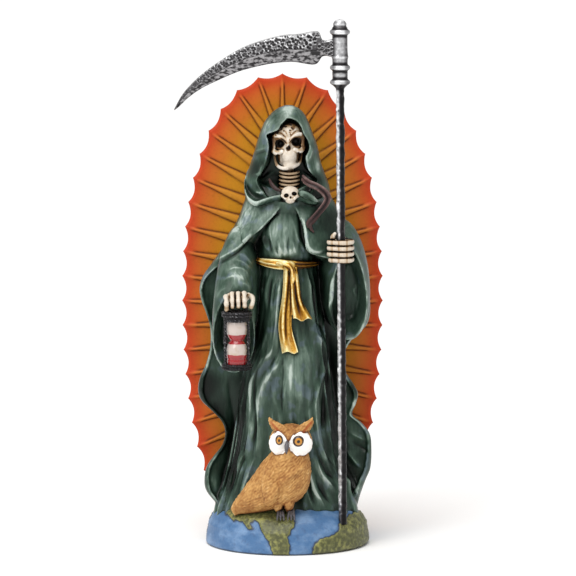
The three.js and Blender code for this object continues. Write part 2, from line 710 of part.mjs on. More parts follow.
function makeScythe() {
  const socketMiddle = footZ + staffLength * socketShares.blade;
  const root = staffLine(socketMiddle);
  const rings = bladeUpper.map(([share, up], i) => {
    const low = bladeLower[i][1];
    const thick = (bladeThickness / 2) * (1.1 - 0.6 * share);
    const span = (part) => socketMiddle + bladeReach * (low + (up - low) * part);
    const x = (part) => root - bladeReach * (share + (bladeLower[i][0] - share) * (1 - part));
    const face = (side) => ([part, half]) =>
      new THREE.Vector3(x(part), staffY + side * thick * half, span(part));
    const front = [[0, 0], [0.3, 1], [0.9, 1], [1, 0.5]];
    const back = [[1, 0.5], [0.9, 1], [0.3, 1]];
    return [...front.map(face(-1)), ...back.map(face(1))];
  });
  return makeStaff().add(loft(rings)).subtract(makeGlobeCutter());
}

// The owl, laid out 57.5 mm tall with its feet at its own origin
const owlLayoutHeight = 57.5;
const owlScale = owlHeight / owlLayoutHeight;
const owlFootX = figureScale * owlPlaceX;
const owlFootY = figureScale * owlPlaceY;
const owlGround = globeHeight(Math.hypot(owlFootX, owlFootY));
const owlPlace = (x, y, z) =>
  new THREE.Vector3(owlFootX + owlScale * x, owlFootY + owlScale * y, owlGround + owlScale * z);
const owlSize = (radii) => radii.map((radius) => radius * owlScale);

// Sections of the body from tail to neck: its middle across, in depth and up, half width, half depth, lean.
const owlBody = [
  [-29.8, 10, 1.6, 2.4, 2, 60], [-27.5, 9, 3.9, 3.8, 3, 58],
  [-21.3, 6.4, 7.3, 7, 5.4, 51], [-11.4, 3, 13.4, 11.7, 8, 43],
  [-3, 1, 19.8, 14.9, 9.6, 33], [0.6, 0, 27, 14.4, 9.6, 18],
  [2.2, -0.4, 34, 12, 9, 8], [3, -0.6, 40, 9, 7.6, 0],
];

// A plain cone just clear of the tunic's folds, for the owl's back to fit against
const foldReach = 4.3;
const makeOwlSeat = () =>
  loft(
    [12, 22, 34, 50, 90].map((z) =>
      Array.from({ length: coneSides }, (_, i) => {
        const turn = (2 * Math.PI * i) / coneSides;
        const across = follow(tunicWidth, z) + foldReach;
        const deep = follow(tunicFront, z) + foldReach;
        return place(across * Math.sin(turn), -deep * Math.cos(turn), z);
      }),
    ),
  );

function makeOwl() {
  const sides = 11;
  const rings = owlBody.map(([x, y, z, across, deep, lean]) =>
    Array.from({ length: sides }, (_, i) => {
      const turn = (2 * Math.PI * i) / sides;
      const side = across * Math.sin(turn);
      const fall = side * Math.sin(lean * degree);
      return owlPlace(x + side * Math.cos(lean * degree), y - deep * Math.cos(turn), z - fall);
    }),
  );
  const head = ball(owlPlace(3.4, 0, 44.4), owlSize([12.3, 9.6, 9.8]), 11, 7);
  const pairs = [-1, 1].flatMap((side) => {
    const ear = [[6.6, -1, 48.6], [10.4, -1.4, 53.4], [12, -1.6, 57.5]];
    const disc = owlPlace(2.5 + 6.3 * side, -8, 43.9);
    const eye = owlPlace(2 + 5.5 * side, -10.6, 45.6);
    const hip = 3 * side - 1;
    const claws = [-1, 0, 1].map((toe) => {
      const claw = [[0.5, 1.5, 5.5], [1.2, -2, 3], [1.8, -4, -0.6]];
      const points = claw.map(([spread, y, z]) => owlPlace(hip + spread * toe, y, z));
      return bar(points, owlSize([1.4, 1.2, 0.9]), 4, 2);
    });
    return [
      bar(ear.map(([x, y, z]) => owlPlace(3.9 + x * side, y, z)), owlSize([3.8, 2.8, 0.6]), 5, 2),
      ball(disc, owlSize([6.3, 3, 6.6]), 9, 4),
      ball(eye, owlSize([2.3, 1.4, 2.4]), 5, 3),
      ball(owlPlace(hip, 0, 9.6), owlSize([3.2, 3.8, 6.6]), 6, 4),
      ...claws,
    ];
  });
  const beakLine = [[-9.6, 45], [-12.4, 41.6], [-11.2, 38]].map(([y, z]) => owlPlace(1, y, z));
  const beak = bar(beakLine, owlSize([1.2, 1.7, 0.5]), 5, 2);
  const wing = ball(owlPlace(-8.4, -7.4, 20), owlSize([5, 3.4, 11.6]), 7, 5);
  return join([loft(rings), head, ...pairs, beak, wing])
    .subtract(makeOwlSeat())
    .subtract(makeGlobeCutter());
}

// A block that takes away everything behind the front of the panel
function behindPanel() {
  const deep = 2 * baseRadius;
  const block = new THREE.BoxGeometry(4 * panelWidth, deep, 4 * overallHeight);
  block.translate(0, backPlane - clearance + deep / 2, 0);
  return solidOf(block);
}

const makeFigure = () =>
  join([
    makeTunic(), makeCloak(), makeHood(), makeCowl(), makeSleeves(), makeSash(), makeSkull(), makeClasp(),
    makeStaffHand(), makeGlassHand(),
  ])
    .subtract(makeGlobeCutter())
    .subtract(makeStaff(clearance))
    .subtract(makeHourglass(clearance))
    .subtract(behindPanel());

// Paint of each casting
const paints = {
  globe_base: { color: 0x4f7fb0, roughness: 0.45 },
  ray_panel: { color: 0xc8642c, roughness: 0.55 },
  robed_figure: { color: 0x38544a, roughness: 0.4 },
  hourglass: { color: 0x9a3038, roughness: 0.35 },
  scythe: { color: 0x8a8a8c, roughness: 0.35, metalness: 0.6 },
  owl: { color: 0xbc8c4e, roughness: 0.6 },
};

const solids = {
  globe_base: makeBase(),
  ray_panel: makePanel(),
  robed_figure: makeFigure(),
  hourglass: makeHourglass(),
  scythe: makeScythe(),
  owl: makeOwl(),
};

const figurine = new THREE.Group();
for (const [name, solid] of Object.entries(solids)) {
  const mesh = new THREE.Mesh(geometryOf(solid), new THREE.MeshStandardMaterial(paints[name]));
  mesh.name = name;
  figurine.add(mesh);
}

export default figurine;
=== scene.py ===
import math
import bpy
import numpy as np
from mathutils.bvhtree import BVHTree
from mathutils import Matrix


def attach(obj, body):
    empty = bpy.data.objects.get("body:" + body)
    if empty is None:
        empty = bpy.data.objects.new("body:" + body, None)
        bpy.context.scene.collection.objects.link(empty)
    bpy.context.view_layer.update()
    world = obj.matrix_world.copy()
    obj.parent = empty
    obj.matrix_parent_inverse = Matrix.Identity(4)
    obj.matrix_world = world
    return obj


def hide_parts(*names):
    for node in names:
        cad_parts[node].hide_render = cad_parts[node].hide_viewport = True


# A painted resin figurine: a hooded skeleton in a long robe stands on a slice of a globe, in front of a
# panel of rays. The forms are laid out in millimetres along the frame's own axes, and scaled to metres when a
# piece is made.
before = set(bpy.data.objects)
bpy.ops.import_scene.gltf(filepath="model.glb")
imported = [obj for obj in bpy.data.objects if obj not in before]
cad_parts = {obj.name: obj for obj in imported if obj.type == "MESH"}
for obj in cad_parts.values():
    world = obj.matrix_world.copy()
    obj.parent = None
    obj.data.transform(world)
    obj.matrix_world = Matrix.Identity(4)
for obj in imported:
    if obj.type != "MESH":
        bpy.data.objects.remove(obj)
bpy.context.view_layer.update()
mm = 0.001
radian = math.pi / 180
backPlane = 20.0  # the front of the panel, which the robe's back meets


# Curves and forms

def smooth(low, high, value):
    t = np.clip((value - low) / (high - low), 0, 1)
    return t * t * (3 - 2 * t)


def bell(value, width):  # 1 where the value is nought, and fading to either side
    return np.exp(-(value / width) ** 2)


def turns(count):  # even steps once round
    return np.linspace(0, 2 * math.pi, count, endpoint=False)


def follow(keys, place):  # follows [place, value] keys smoothly, and stays level beyond them
    at, value = np.array(keys, float).T
    slope = np.empty_like(value)
    slope[1:-1] = (value[2:] - value[:-2]) / (at[2:] - at[:-2])
    slope[0] = (value[1] - value[0]) / (at[1] - at[0])
    slope[-1] = (value[-1] - value[-2]) / (at[-1] - at[-2])
    place = np.clip(place, at[0], at[-1])
    i = np.clip(np.searchsorted(at, place, side="right") - 1, 0, len(at) - 2)
    width = at[i + 1] - at[i]
    t = (place - at[i]) / width
    return (value[i] * (2 * t**3 - 3 * t**2 + 1) + slope[i] * width * (t**3 - 2 * t**2 + t)
            + value[i + 1] * (3 * t**2 - 2 * t**3) + slope[i + 1] * width * (t**3 - t**2))


def through(points, count):  # count points along a smooth line through the given ones
    points = np.array(points, float)
    steps = np.linalg.norm(np.diff(points, axis=0), axis=1) ** 0.7
    at = np.concatenate([[0], np.cumsum(steps)])
    where = np.linspace(0, at[-1], count)
    return np.stack([follow(np.stack([at, column], 1), where) for column in points.T], 1)


def spread(values, count):  # count values that follow a short list from end to end
    keys = [[i / (len(values) - 1), value] for i, value in enumerate(values)]
    return follow(keys, np.linspace(0, 1, count))


def columnsOf(stations, count):  # each column of a table, spread over count rows
    return [spread(column, count)[:, None] for column in zip(*stations)]


def skin(rings):  # a closed skin over rings with the same even number of points; strips close its ends
    rings = np.asarray(rings, float)
    count, sides = rings.shape[:2]
    index = np.arange(count * sides).reshape(count, sides)
    ahead = np.roll(index, -1, 1)
    walls = np.stack([index[:-1], ahead[:-1], ahead[1:], index[1:]], -1).reshape(-1, 4)
    near = np.arange(sides // 2 - 1)
    strip = np.stack([near, sides - 1 - near, sides - 2 - near, near + 1], -1)
    top = strip[:, ::-1] + (count - 1) * sides
    return rings.reshape(-1, 3), np.concatenate([walls, strip, top])


def tube(points, radii, sides=16, steps=40, flat=1.0, facing=(0, 0, 1)):  # flat thins it along facing
    line = through(points, steps)
    radius = spread(radii, steps)
    ahead = np.gradient(line, axis=0)
    ahead /= np.linalg.norm(ahead, axis=1)[:, None]
    side = np.cross(np.array(facing, float), ahead)
    side /= np.linalg.norm(side, axis=1)[:, None] + 1e-9
    rise = np.cross(ahead, side)
    turn = turns(sides)[:, None]
    ring = side[:, None] * np.cos(turn) + flat * rise[:, None] * np.sin(turn)

    def cap(end, way):  # a smaller ring just past an end
        return line[end, None] + (0.5 * way * ahead[end, None] + 0.6 * ring[end]) * radius[end]
    rings = line[:, None] + ring * radius[:, None, None]
    return skin(np.concatenate([cap(slice(0, 1), -1), rings, cap(slice(-1, None), 1)]))


def ball(centre, radii, columns=32, rows=20):
    up = np.linspace(-math.pi / 2, math.pi / 2, rows)[1:-1]
    turn = turns(columns)
    up = up[:, None]
    rings = np.stack([np.cos(up) * np.cos(turn), np.cos(up) * np.sin(turn), np.sin(up) + 0 * turn], -1)
    return skin(rings * np.array(radii, float) + np.array(centre, float))


def turned(profile, centre=(0, 0), sides=48):  # [radius, height] pairs turned about an upright axis
    radius, height = np.array(profile, float).T[:, :, None]
    turn = turns(sides)
    x = centre[0] + radius * np.sin(turn)
    y = centre[1] - radius * np.cos(turn)
    return skin(np.stack([x, y, height + 0 * turn], -1))


def together(forms):  # several forms as one, their faces as plain lists
    points, faces = [], []
    for form in forms:
        offset = sum(len(part) for part in points)
        points.append(form[0])
        if isinstance(form[1], np.ndarray):
            faces += (form[1] + offset).tolist()
        else:
            faces += [[i + offset for i in face] for face in form[1]]
    return np.concatenate(points), faces


def edgeEnds(faces):
    return faces.ravel(), np.roll(faces, -1, axis=1).ravel()


def relaxed(points, faces, rounds, keepSize=True):  # evens a skin out; keepSize stops it from shrinking
    a, b = edgeEnds(faces)
    total = len(points)
    share = np.maximum(np.bincount(a, minlength=total) + np.bincount(b, minlength=total), 1)
    points = points.copy()
    for strength in [0.5, -0.52] * rounds if keepSize else [0.6] * rounds:
        sums = [np.bincount(a, points[b, k], total) + np.bincount(b, points[a, k], total) for k in range(3)]
        points += strength * (np.stack(sums, 1) / share[:, None] - points)
    return points


def normalsOf(points, faces):
    a, b, c, d = (points[faces[:, k]] for k in range(4))
    across = np.cross(c - a, d - b)
    corners, total = faces.ravel(), len(points)
    normal = np.stack([np.bincount(corners, np.repeat(across[:, k], 4), total) for k in range(3)], 1)
    return normal / (np.linalg.norm(normal, axis=1)[:, None] + 1e-12)


def reliefOf(points, faces, rounds):  # how far each point stands out of the evened skin, in millimetres
    normal = normalsOf(points, faces)
    return np.einsum("ij,ij->i", points - relaxed(points, faces, rounds, keepSize=False), normal)


def meshOf(name, points, faces):
    mesh = bpy.data.meshes.new(name)
    mesh.from_pydata(points.tolist(), [], faces if isinstance(faces, list) else faces.tolist())
    mesh.update()
    return mesh


def shaped(form, kind, **settings):  # the points, corners and face sizes that one modifier makes of a form
    thing = bpy.data.objects.new("rough", meshOf("rough", *form))
    bpy.context.scene.collection.objects.link(thing)
    modifier = thing.modifiers.new("shape", kind)
    for key, value in settings.items():
        setattr(modifier, key, value)
    result = thing.evaluated_get(bpy.context.evaluated_depsgraph_get())
    done = result.to_mesh()
    flat = np.empty(len(done.vertices) * 3)
    done.vertices.foreach_get("co", flat)
    corners = np.empty(len(done.loops), int)
    done.loops.foreach_get("vertex_index", corners)
    sizes = np.empty(len(done.polygons), int)
    done.polygons.foreach_get("loop_total", sizes)
    result.to_mesh_clear()
    bpy.data.objects.remove(thing)
    return flat.reshape(-1, 3), corners, sizes


def fused(forms, grain):  # one even skin round closed forms that run into each other
    points, corners = shaped(together(forms), "REMESH", mode="VOXEL", voxel_size=grain)[:2]
    return facedOut((points, corners.reshape(-1, 4)))


def carved(form, tool):  # form less tool
    cutter = bpy.data.objects.new("tool", meshOf("tool", *facedOut(tool)))
    bpy.context.scene.collection.objects.link(cutter)
    settings = {"operation": "DIFFERENCE", "solver": "EXACT", "object": cutter}
    points, corners, sizes = shaped(facedOut(form), "BOOLEAN", **settings)
    bpy.data.objects.remove(cutter)
    starts = np.concatenate([[0], np.cumsum(sizes)])
    return points, [corners[a:b].tolist() for a, b in zip(starts[:-1], starts[1:])]


def facedOut(form):  # turned the right way out
    points, faces = form
    a, b, c, d = (points[faces[:, k]] for k in range(4))
    volume = (a * (np.cross(b, c) + np.cross(c, d))).sum()
    return points, faces if volume > 0 else faces[:, ::-1]


class Clay:  # a block of distances that forms are pressed together in, for bones
    def __init__(self, low, high, grain):
        self.low, self.grain = np.array(low, float), grain
        size = np.ceil((np.array(high) - self.low) / grain).astype(int) + 1
        self.field = np.full(size, 3.0, np.float32)  # well outside, until a form is pressed in

    def near(self, low, high):  # the part of the block between two corners, and the places in it
        first = np.clip(np.floor((low - self.low) / self.grain).astype(int), 0, None)
        last = np.minimum(np.ceil((high - self.low) / self.grain).astype(int) + 1, self.field.shape)
        window = tuple(slice(a, b) for a, b in zip(first, last))
        axes = [self.low[k] + self.grain * np.arange(first[k], last[k]) for k in range(3)]
        return window, np.meshgrid(*axes, indexing="ij", copy=False)

    def press(self, window, distance, blend, cut):
        sign = -1 if cut else 1
        old = sign * self.field[window]
        share = np.clip(0.5 + 0.5 * (distance - old) / blend, 0, 1)
        self.field[window] = sign * (distance + (old - distance) * share - blend * share * (1 - share))

    def lump(self, centre, radii, blend=0.8, cut=False, tilt=0.0):  # an egg, tilted in the front view
        centre, radii = np.array(centre, float), np.array(radii, float)
        reach = radii.max() + blend + 2 * self.grain
        window, (x, y, z) = self.near(centre - reach, centre + reach)
        x, y, z = x - centre[0], y - centre[1], z - centre[2]
        c, s = math.cos(tilt * radian), math.sin(tilt * radian)
        x, z = x * c + z * s, z * c - x * s
        share = np.sqrt(sum((axis / radius) ** 2 for axis, radius in zip((x, y, z), radii)))
        slope = np.sqrt(sum((axis / radius**2) ** 2 for axis, radius in zip((x, y, z), radii)))
        self.press(window, share * (share - 1) / np.maximum(slope, 1e-6), blend, cut)

    def limb(self, points, radii, blend=0.5, cut=False, steps=14):  # a round bar of changing thickness
        line, radius = through(points, steps), spread(radii, steps)
        reach = max(radii) + blend + 2 * self.grain
        window, places = self.near(line.min(0) - reach, line.max(0) + reach)
        best = np.full(places[0].shape, 9.0)  # well outside
        for start, end, r0, r1 in zip(line[:-1], line[1:], radius[:-1], radius[1:]):
            step = end - start
            away = [axis - a for axis, a in zip(places, start)]
            t = np.clip(sum(a * s for a, s in zip(away, step)) / max(step @ step, 1e-9), 0, 1)
            gap = np.sqrt(sum((a - t * s) ** 2 for a, s in zip(away, step)))
            best = np.minimum(best, gap - r0 - (r1 - r0) * t)
        self.press(window, best, blend, cut)

    def skin(self):  # the surface where the distance is nought
        inside = self.field < 0
        size = self.field.shape
        stride = np.array([size[1] * size[2], size[2], 1])
        cells, places = [], []
        for axis in range(3):
            u, v = [k for k in range(3) if k != axis]
            low = tuple(slice(0, -1) if k == axis else slice(None) for k in range(3))
            high = tuple(slice(1, None) if k == axis else slice(None) for k in range(3))
            at = np.argwhere(inside[low] != inside[high])
            step = np.eye(3, dtype=int)
            a = self.field[tuple(at.T)]
            b = self.field[tuple((at + step[axis]).T)]
            place = at + step[axis] * (a / (a - b))[:, None]
            square = ((0, 0), (1, 0), (1, 1), (0, 1))
            around = np.stack([at - i * step[u] - j * step[v] for i, j in square], 1)
            turnOver = (a < 0) == (axis == 1)
            around[turnOver] = around[turnOver][:, ::-1]
            cells.append((around @ stride).reshape(-1))
            places.append(np.repeat(place, 4, axis=0))
        index = np.unique(np.concatenate(cells), return_inverse=True)[1]
        places = np.concatenate(places)
        points = np.stack([np.bincount(index, column) / np.bincount(index) for column in places.T], 1)
        return self.low + self.grain * points, index.reshape(-1, 4)


# Shaders: a wire is a socket that takes part in plain arithmetic

class Wire:
    def __init__(self, paint, socket):
        self.paint, self.socket = paint, socket

    def sum(self, kind, a, b):
        return self.paint.node("ShaderNodeMath", {"operation": kind}, {0: a, 1: b})

    def __add__(self, other):
        return self.sum("ADD", self, other)

    def __radd__(self, other):
        return self.sum("ADD", other, self)

    def __sub__(self, other):
        return self.sum("SUBTRACT", self, other)

    def __rsub__(self, other):
        return self.sum("SUBTRACT", other, self)

    def __mul__(self, other):
        return self.sum("MULTIPLY", self, other)

    def __rmul__(self, other):
        return self.sum("MULTIPLY", other, self)


class Paint:
    def __init__(self, name, reach=8.0, **constants):
        self.reach = reach  # how far, in millimetres, a surface looks for others that darken it
        self.material = bpy.data.materials.new(name)
        self.material.use_nodes = True
        self.tree = self.material.node_tree
        self.shader = self.tree.nodes["Principled BSDF"]
        for key, value in constants.items():
            self.shader.inputs[key.replace("_", " ")].default_value = value

    def node(self, kind, settings=None, values=None, out=0):
        made = self.tree.nodes.new(kind)
        for key, value in (settings or {}).items():
            if key == "stops":
                ramp = made.color_ramp
                while len(ramp.elements) < len(value):
                    ramp.elements.new(0.5)
                for element, (place, colour) in zip(ramp.elements, value):
                    element.position = place
                    element.color = (*colour, 1)
            else:
                setattr(made, key, value)
        for key, value in (values or {}).items():
            if isinstance(value, Wire):
                self.tree.links.new(value.socket, made.inputs[key])
            else:
                made.inputs[key].default_value = value
        return Wire(self, made.outputs[out])

    def field(self, name):  # a value that the mesh carries at each point
        return self.node("ShaderNodeAttribute", {"attribute_name": name}, out="Fac")

    def noise(self, size, detail=3.0, stretch=(1, 1, 1)):  # size in millimetres
        place = self.node("ShaderNodeTexCoord", out="Object")
        scaled = self.node("ShaderNodeMapping", None, {"Vector": place, "Scale": stretch})
        values = {"Vector": scaled, "Scale": 1 / (size * mm), "Detail": detail}
        return self.node("ShaderNodeTexNoise", None, values)

    def ramp(self, stops, place):
        return self.node("ShaderNodeValToRGB", {"stops": stops}, {"Fac": place})

    def between(self, value, low, high):  # 0 below low, 1 above high
        return self.node("ShaderNodeMapRange", {"interpolation_type": "SMOOTHSTEP"},
                         {"Value": value, "From Min": low, "From Max": high})

    def mix(self, share, a, b):
        a, b = (colour if isinstance(colour, Wire) else (*colour, 1) for colour in (a, b))
        return self.node("ShaderNodeMix", {"data_type": "RGBA"}, {0: share, 6: a, 7: b}, out=2)

    def feed(self, name, wire):
        self.tree.links.new(wire.socket, self.shader.inputs[name])

    def bump(self, height, depth):  # depth in millimetres
        self.feed("Normal", self.node("ShaderNodeBump", None, {"Height": height, "Distance": depth * mm}))


def rgb(red, green, blue):  # from the 0 to 255 of a colour picker to the shader's own light values
    shares = (red / 255, green / 255, blue / 255)
    return tuple(c / 12.92 if c <= 0.04045 else ((c + 0.055) / 1.055) ** 2.4 for c in shares)


stock = []  # the pieces, painted together once all are shaped


def makePiece(name, form, paint, node, **fields):
    points, faces = facedOut(form)
    fields["fine"] = reliefOf(points, faces, 5)
    stock.append((name, points, faces, paint, node, fields))
    print("shaped", name, len(faces) * 2, "triangles")


# Painted shade: how open each point is, which the paints turn into darker colour in hollows
def openness(points, normal, tree, reach, rays):  # 1 in the open, 0 deep in a hollow
    random = np.random.default_rng(7)
    ways = random.normal(size=(rays, 3))
    ways /= np.linalg.norm(ways, axis=1)[:, None]
    free = np.zeros(len(points))
    starts = (points + normal * 0.35).tolist()  # just off the surface
    for way in ways:
        aim = normal * 1.02 + way  # a little over 1, so that none points inwards
        aim /= np.linalg.norm(aim, axis=1)[:, None]
        hits = [tree.ray_cast(a, b, reach)[3] for a, b in zip(starts, aim.tolist())]
        free += [1.0 if gap is None else gap / reach * 0.6 for gap in hits]
    return free / rays


def finishPieces():
    whole, allFaces = together([item[1:3] for item in stock])
    tree = BVHTree.FromPolygons(whole.tolist(), allFaces)
    print("hollows are read from", len(allFaces), "faces")
    for name, points, faces, paint, node, fields in stock:
        if name not in ("rays", "globe"):  # their paint doesn't look at hollows
            total = len(points)
            free = openness(points, normalsOf(points, faces), tree, paint.reach, 8 if total > 60000 else 16)
            a, b = edgeEnds(faces)
            share = np.bincount(a, minlength=total) + np.bincount(b, minlength=total)
            for _ in range(3):
                free = (np.bincount(a, free[b], total) + np.bincount(b, free[a], total)) / share
            fields["open"] = free
        mesh = meshOf(name, points * mm, faces)
        mesh.shade_smooth()
        for key, values in fields.items():
            field = mesh.attributes.new(key, "FLOAT", "POINT")
            field.data.foreach_set("value", np.asarray(values, np.float32))
        mesh.materials.append(paint.material)
        thing = bpy.data.objects.new(name, mesh)
        bpy.context.scene.collection.objects.link(thing)
        triangles = len(faces) * 2
        if triangles > robe["triangles"]:
            thinner = thing.modifiers.new("thin", "DECIMATE")
            thinner.ratio = robe["triangles"] / triangles
            thinned = thing.evaluated_get(bpy.context.evaluated_depsgraph_get())
            thing.data = bpy.data.meshes.new_from_object(thinned)
            thing.modifiers.clear()
            thing.data.shade_smooth()
        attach(thing, "root")
        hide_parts(node)
        print("painted", name)


# Camera, lights and floor

view = {"distance": 2200, "height": 388, "aim": (0.6, 0, 147), "lens": 241.8,
        "floor": 251, "floorSize": 40, "sun": 2.0, "key": 7, "world": 0.56}


def makeStage():
    scene = bpy.context.scene
    camera = bpy.data.cameras.new("camera")
    camera.lens = view["lens"]
    camera.sensor_width = 36
    camera.clip_end = 50
    eye = bpy.data.objects.new("camera", camera)
    eye.location = (view["aim"][0] * mm, -view["distance"] * mm, view["height"] * mm)
    pitch = math.atan2(view["height"] - view["aim"][2], view["distance"])
    eye.rotation_euler = (math.pi / 2 - pitch, 0, 0)
    scene.collection.objects.link(eye)
    scene.camera = eye
    for name, kind, where, power in (("sky", "SUN", (-0.28, -0.62, 1.7), view["sun"]),
                                     ("key", "AREA", (-0.85, -1.25, 1.0), view["key"])):
        light = bpy.data.lights.new(name, kind)
        if kind == "SUN":
            light.angle = 45 * radian
        else:
            light.size = 0.6
        light.energy = power
        light.color = (1, 0.99, 0.97)
        lamp = bpy.data.objects.new(name, light)
        lamp.location = where
        aim = np.array([0, 0, 0.14]) - np.array(where)  # towards the figure's middle
        pitch = math.acos(-aim[2] / np.linalg.norm(aim))
        lamp.rotation_euler = (pitch, 0, math.atan2(aim[1], aim[0]) - math.pi / 2)
        scene.collection.objects.link(lamp)
    world = bpy.data.worlds.new("studio")
    world.use_nodes = True
    background = world.node_tree.nodes["Background"]
    background.inputs["Color"].default_value = (1, 1, 1, 1)
    background.inputs["Strength"].default_value = view["world"]
    scene.world = world
    scene.view_settings.view_transform = "Standard"
    paint = Paint("floor", Roughness=0.8, Specular_IOR_Level=0.2)
    tone = rgb(view["floor"], view["floor"], view["floor"])
    paint.feed("Base Color", paint.mix(paint.noise(300), tone, tuple(c * 0.985 for c in tone)))
    half = view["floorSize"] / 2
    corners = np.array([(-half, -half, 0), (half, -half, 0), (half, half, 0), (-half, half, 0)])
    mesh = meshOf("floor", corners, [(0, 1, 2, 3)])
    mesh.materials.append(paint.material)
    floor = bpy.data.objects.new("floor", mesh)
    scene.collection.objects.link(floor)
    print("stage ready")


makeStage()


# The globe: a low slice of a painted globe, with its land raised a little

globe = {"radius": 46.5, "rimHeight": 12, "crownHeight": 30, "chamfer": 1.2, "ownRadius": 1.032,
         "landHeight": 0.75, "round": 1.3,
         "sea": rgb(68, 108, 152), "deepSea": rgb(40, 64, 104), "paleSea": rgb(116, 148, 186),
         "land": rgb(98, 100, 58), "darkLand": rgb(44, 46, 24), "paleLand": rgb(168, 166, 92),
         "coastLine": rgb(30, 34, 30), "foot": rgb(24, 22, 16)}
globeRise = (globe["crownHeight"] - globe["rimHeight"]) / (1 - math.sqrt(1 - 1 / globe["ownRadius"] ** 2))
globeFoot = globe["crownHeight"] - globeRise


def globeHeight(radius):
    share = np.clip(1 - (radius / (globe["radius"] * globe["ownRadius"])) ** 2, 0, 1)
    return globeFoot + globeRise * np.sqrt(share)


def groundUnder(points):
    return globeHeight(np.hypot(points[:, 0], points[:, 1]))


def stood(points, rise):  # with nothing lower than this far above the globe
    points[:, 2] = np.maximum(points[:, 2], groundUnder(points) + rise)
    return points


# Coasts as they look from the front, from 10 degrees above: across, and up from the base
midLand = [[-36, 24], [-34.5, 15.5], [-30, 12], [-25, 11.3], [-22, 7], [-19.3, 6.7], [-20.7, 10],
           [-18.4, 12.1], [-15.6, 11], [-15, 7.9], [-12.7, 3.7], [-9.8, -0.5], [-8.5, -4.7], [-6, -12],
           [0.4, -12], [1.6, -3.8], [0.3, 2], [2.4, 6.2], [4.9, 10.4], [3.2, 13.4], [6, 24]]
sideLand = [[14, -12], [15, -2.2], [19.2, 1.6], [25, 2.9], [28.8, 5.4], [29.7, 9.6], [32.6, 12.9],
            [37.6, 16.3], [44, 19], [52, 10], [52, -12]]


def insideCoast(outline, across, up):  # distance in from the coast, less than nought at sea
    outline = np.array(outline, float)
    inside = np.zeros(len(across), bool)
    gap = np.full(len(across), 99.0)
    for (x0, z0), (x1, z1) in zip(outline, np.roll(outline, -1, 0)):
        crosses = (z0 > up) != (z1 > up)
        run, rise = x1 - x0, z1 - z0
        inside ^= crosses & (across < run * (up - z0) / (rise or 1e-9) + x0)
        along = np.clip(((across - x0) * run + (up - z0) * rise) / (run**2 + rise**2), 0, 1)
        gap = np.minimum(gap, np.hypot(across - x0 - along * run, up - z0 - along * rise))
    return np.where(inside, gap, -gap)


def makeGlobe():
    radius, chamfer = globe["radius"], globe["chamfer"]
    profile = [[6, 0], [30, 0], [radius - chamfer - 0.6, 0], [radius - chamfer, 0.1]]
    profile += [[radius - chamfer * (1 - math.sin(a)), chamfer * (1 - math.cos(a))]
                for a in np.linspace(0.2, 1, 5) * math.pi / 2]
    profile += [[radius, z] for z in np.linspace(1.8, globe["rimHeight"] - 0.5, 16)]
    profile += [[r, globeHeight(r)] for r in radius * np.sin(np.linspace(1, 0.28, 52) * math.pi / 2)]
    profile += [[8, globeHeight(8)], [2, globeHeight(2)]]
    profile = [[r - globe["round"] * smooth(3, 12, z) * smooth(21, 13, z), z] for r, z in profile]
    points, faces = turned(profile, sides=460)
    x, y, z = points.T
    tilt = 10 * radian  # the coasts' own angle of view
    coast = np.full(len(points), -99.0)
    wobble = 0.5 * np.sin(x * 1.7 + z * 0.9) + 0.4 * np.sin(z * 2.3 - y * 1.1)
    wobble += 0.25 * np.sin(x * 4.1 - z * 3.7)
    for turn, lands in ((0, (midLand, sideLand)), (158, (midLand,)), (205, (sideLand, midLand))):
        c, s = math.cos(turn * radian), math.sin(turn * radian)
        across, away = x * c + y * s, y * c - x * s
        up = away * math.sin(tilt) + z * math.cos(tilt)
        for land in lands:
            here = away < 6 if turn == 0 else (away < 6) & (y > 8)
            coast = np.maximum(coast, np.where(here, insideCoast(land, across, up), -99))
    coast = coast + wobble * 0.5
    raised = smooth(-0.25, 0.55, coast) * smooth(0.4, 2.2, z)
    rough = np.sin(x * 2.9 + 1.3 * np.sin(z * 1.9)) * np.sin(z * 3.1 + 1.7 * np.sin(y * 1.3 + x))
    lift = raised * (globe["landHeight"] + 0.22 * rough * smooth(0.6, 2, coast))
    out = normalsOf(*facedOut((points, faces)))
    points = points + out * lift[:, None]
    paint = Paint("globe_paint", Roughness=0.42)
    shore = paint.field("coast")
    stain = paint.noise(11, 3, (1, 1, 1.8))
    fine = paint.noise(2.2, 5)
    sea = paint.mix(paint.between(stain * 0.8 + fine * 0.2, 0.4, 0.7), globe["sea"], globe["paleSea"])
    sea = paint.mix(paint.between(fine, 0.5, 0.75) * 0.4, sea, globe["deepSea"])
    sea = paint.mix(paint.between(shore, -1.6, -0.1) * 0.75, sea, globe["deepSea"])
    land = paint.mix(0.5 + 0.5 * paint.between(fine, 0.36, 0.6), globe["darkLand"], globe["land"])
    land = paint.mix(paint.between(stain * 0.4 + fine * 0.6, 0.48, 0.7) * 0.6, land, globe["paleLand"])
    land = paint.mix((1 - paint.between(shore, 0.1, 1.3)) * 0.35, land, globe["paleLand"])
    colour = paint.mix(paint.between(shore, -0.15, 0.25), sea, land)
    outline = paint.between(shore, -0.7, -0.2) * (1 - paint.between(shore, 0, 0.5))
    colour = paint.mix(outline * 0.7, colour, globe["coastLine"])
    lowEdge = 1 - paint.between(paint.field("height") + 0.8 * (fine - 0.5), 0.3, 1.5)
    paint.feed("Base Color", paint.mix(lowEdge * 0.8, colour, globe["foot"]))
    paint.feed("Roughness", 0.34 + 0.2 * paint.noise(3))
    paint.bump(fine, 0.25)
    makePiece("globe", (points, faces), paint, "globe_base", coast=np.clip(coast, -5, 5), height=points[:, 2])


makeGlobe()


# The panel of rays

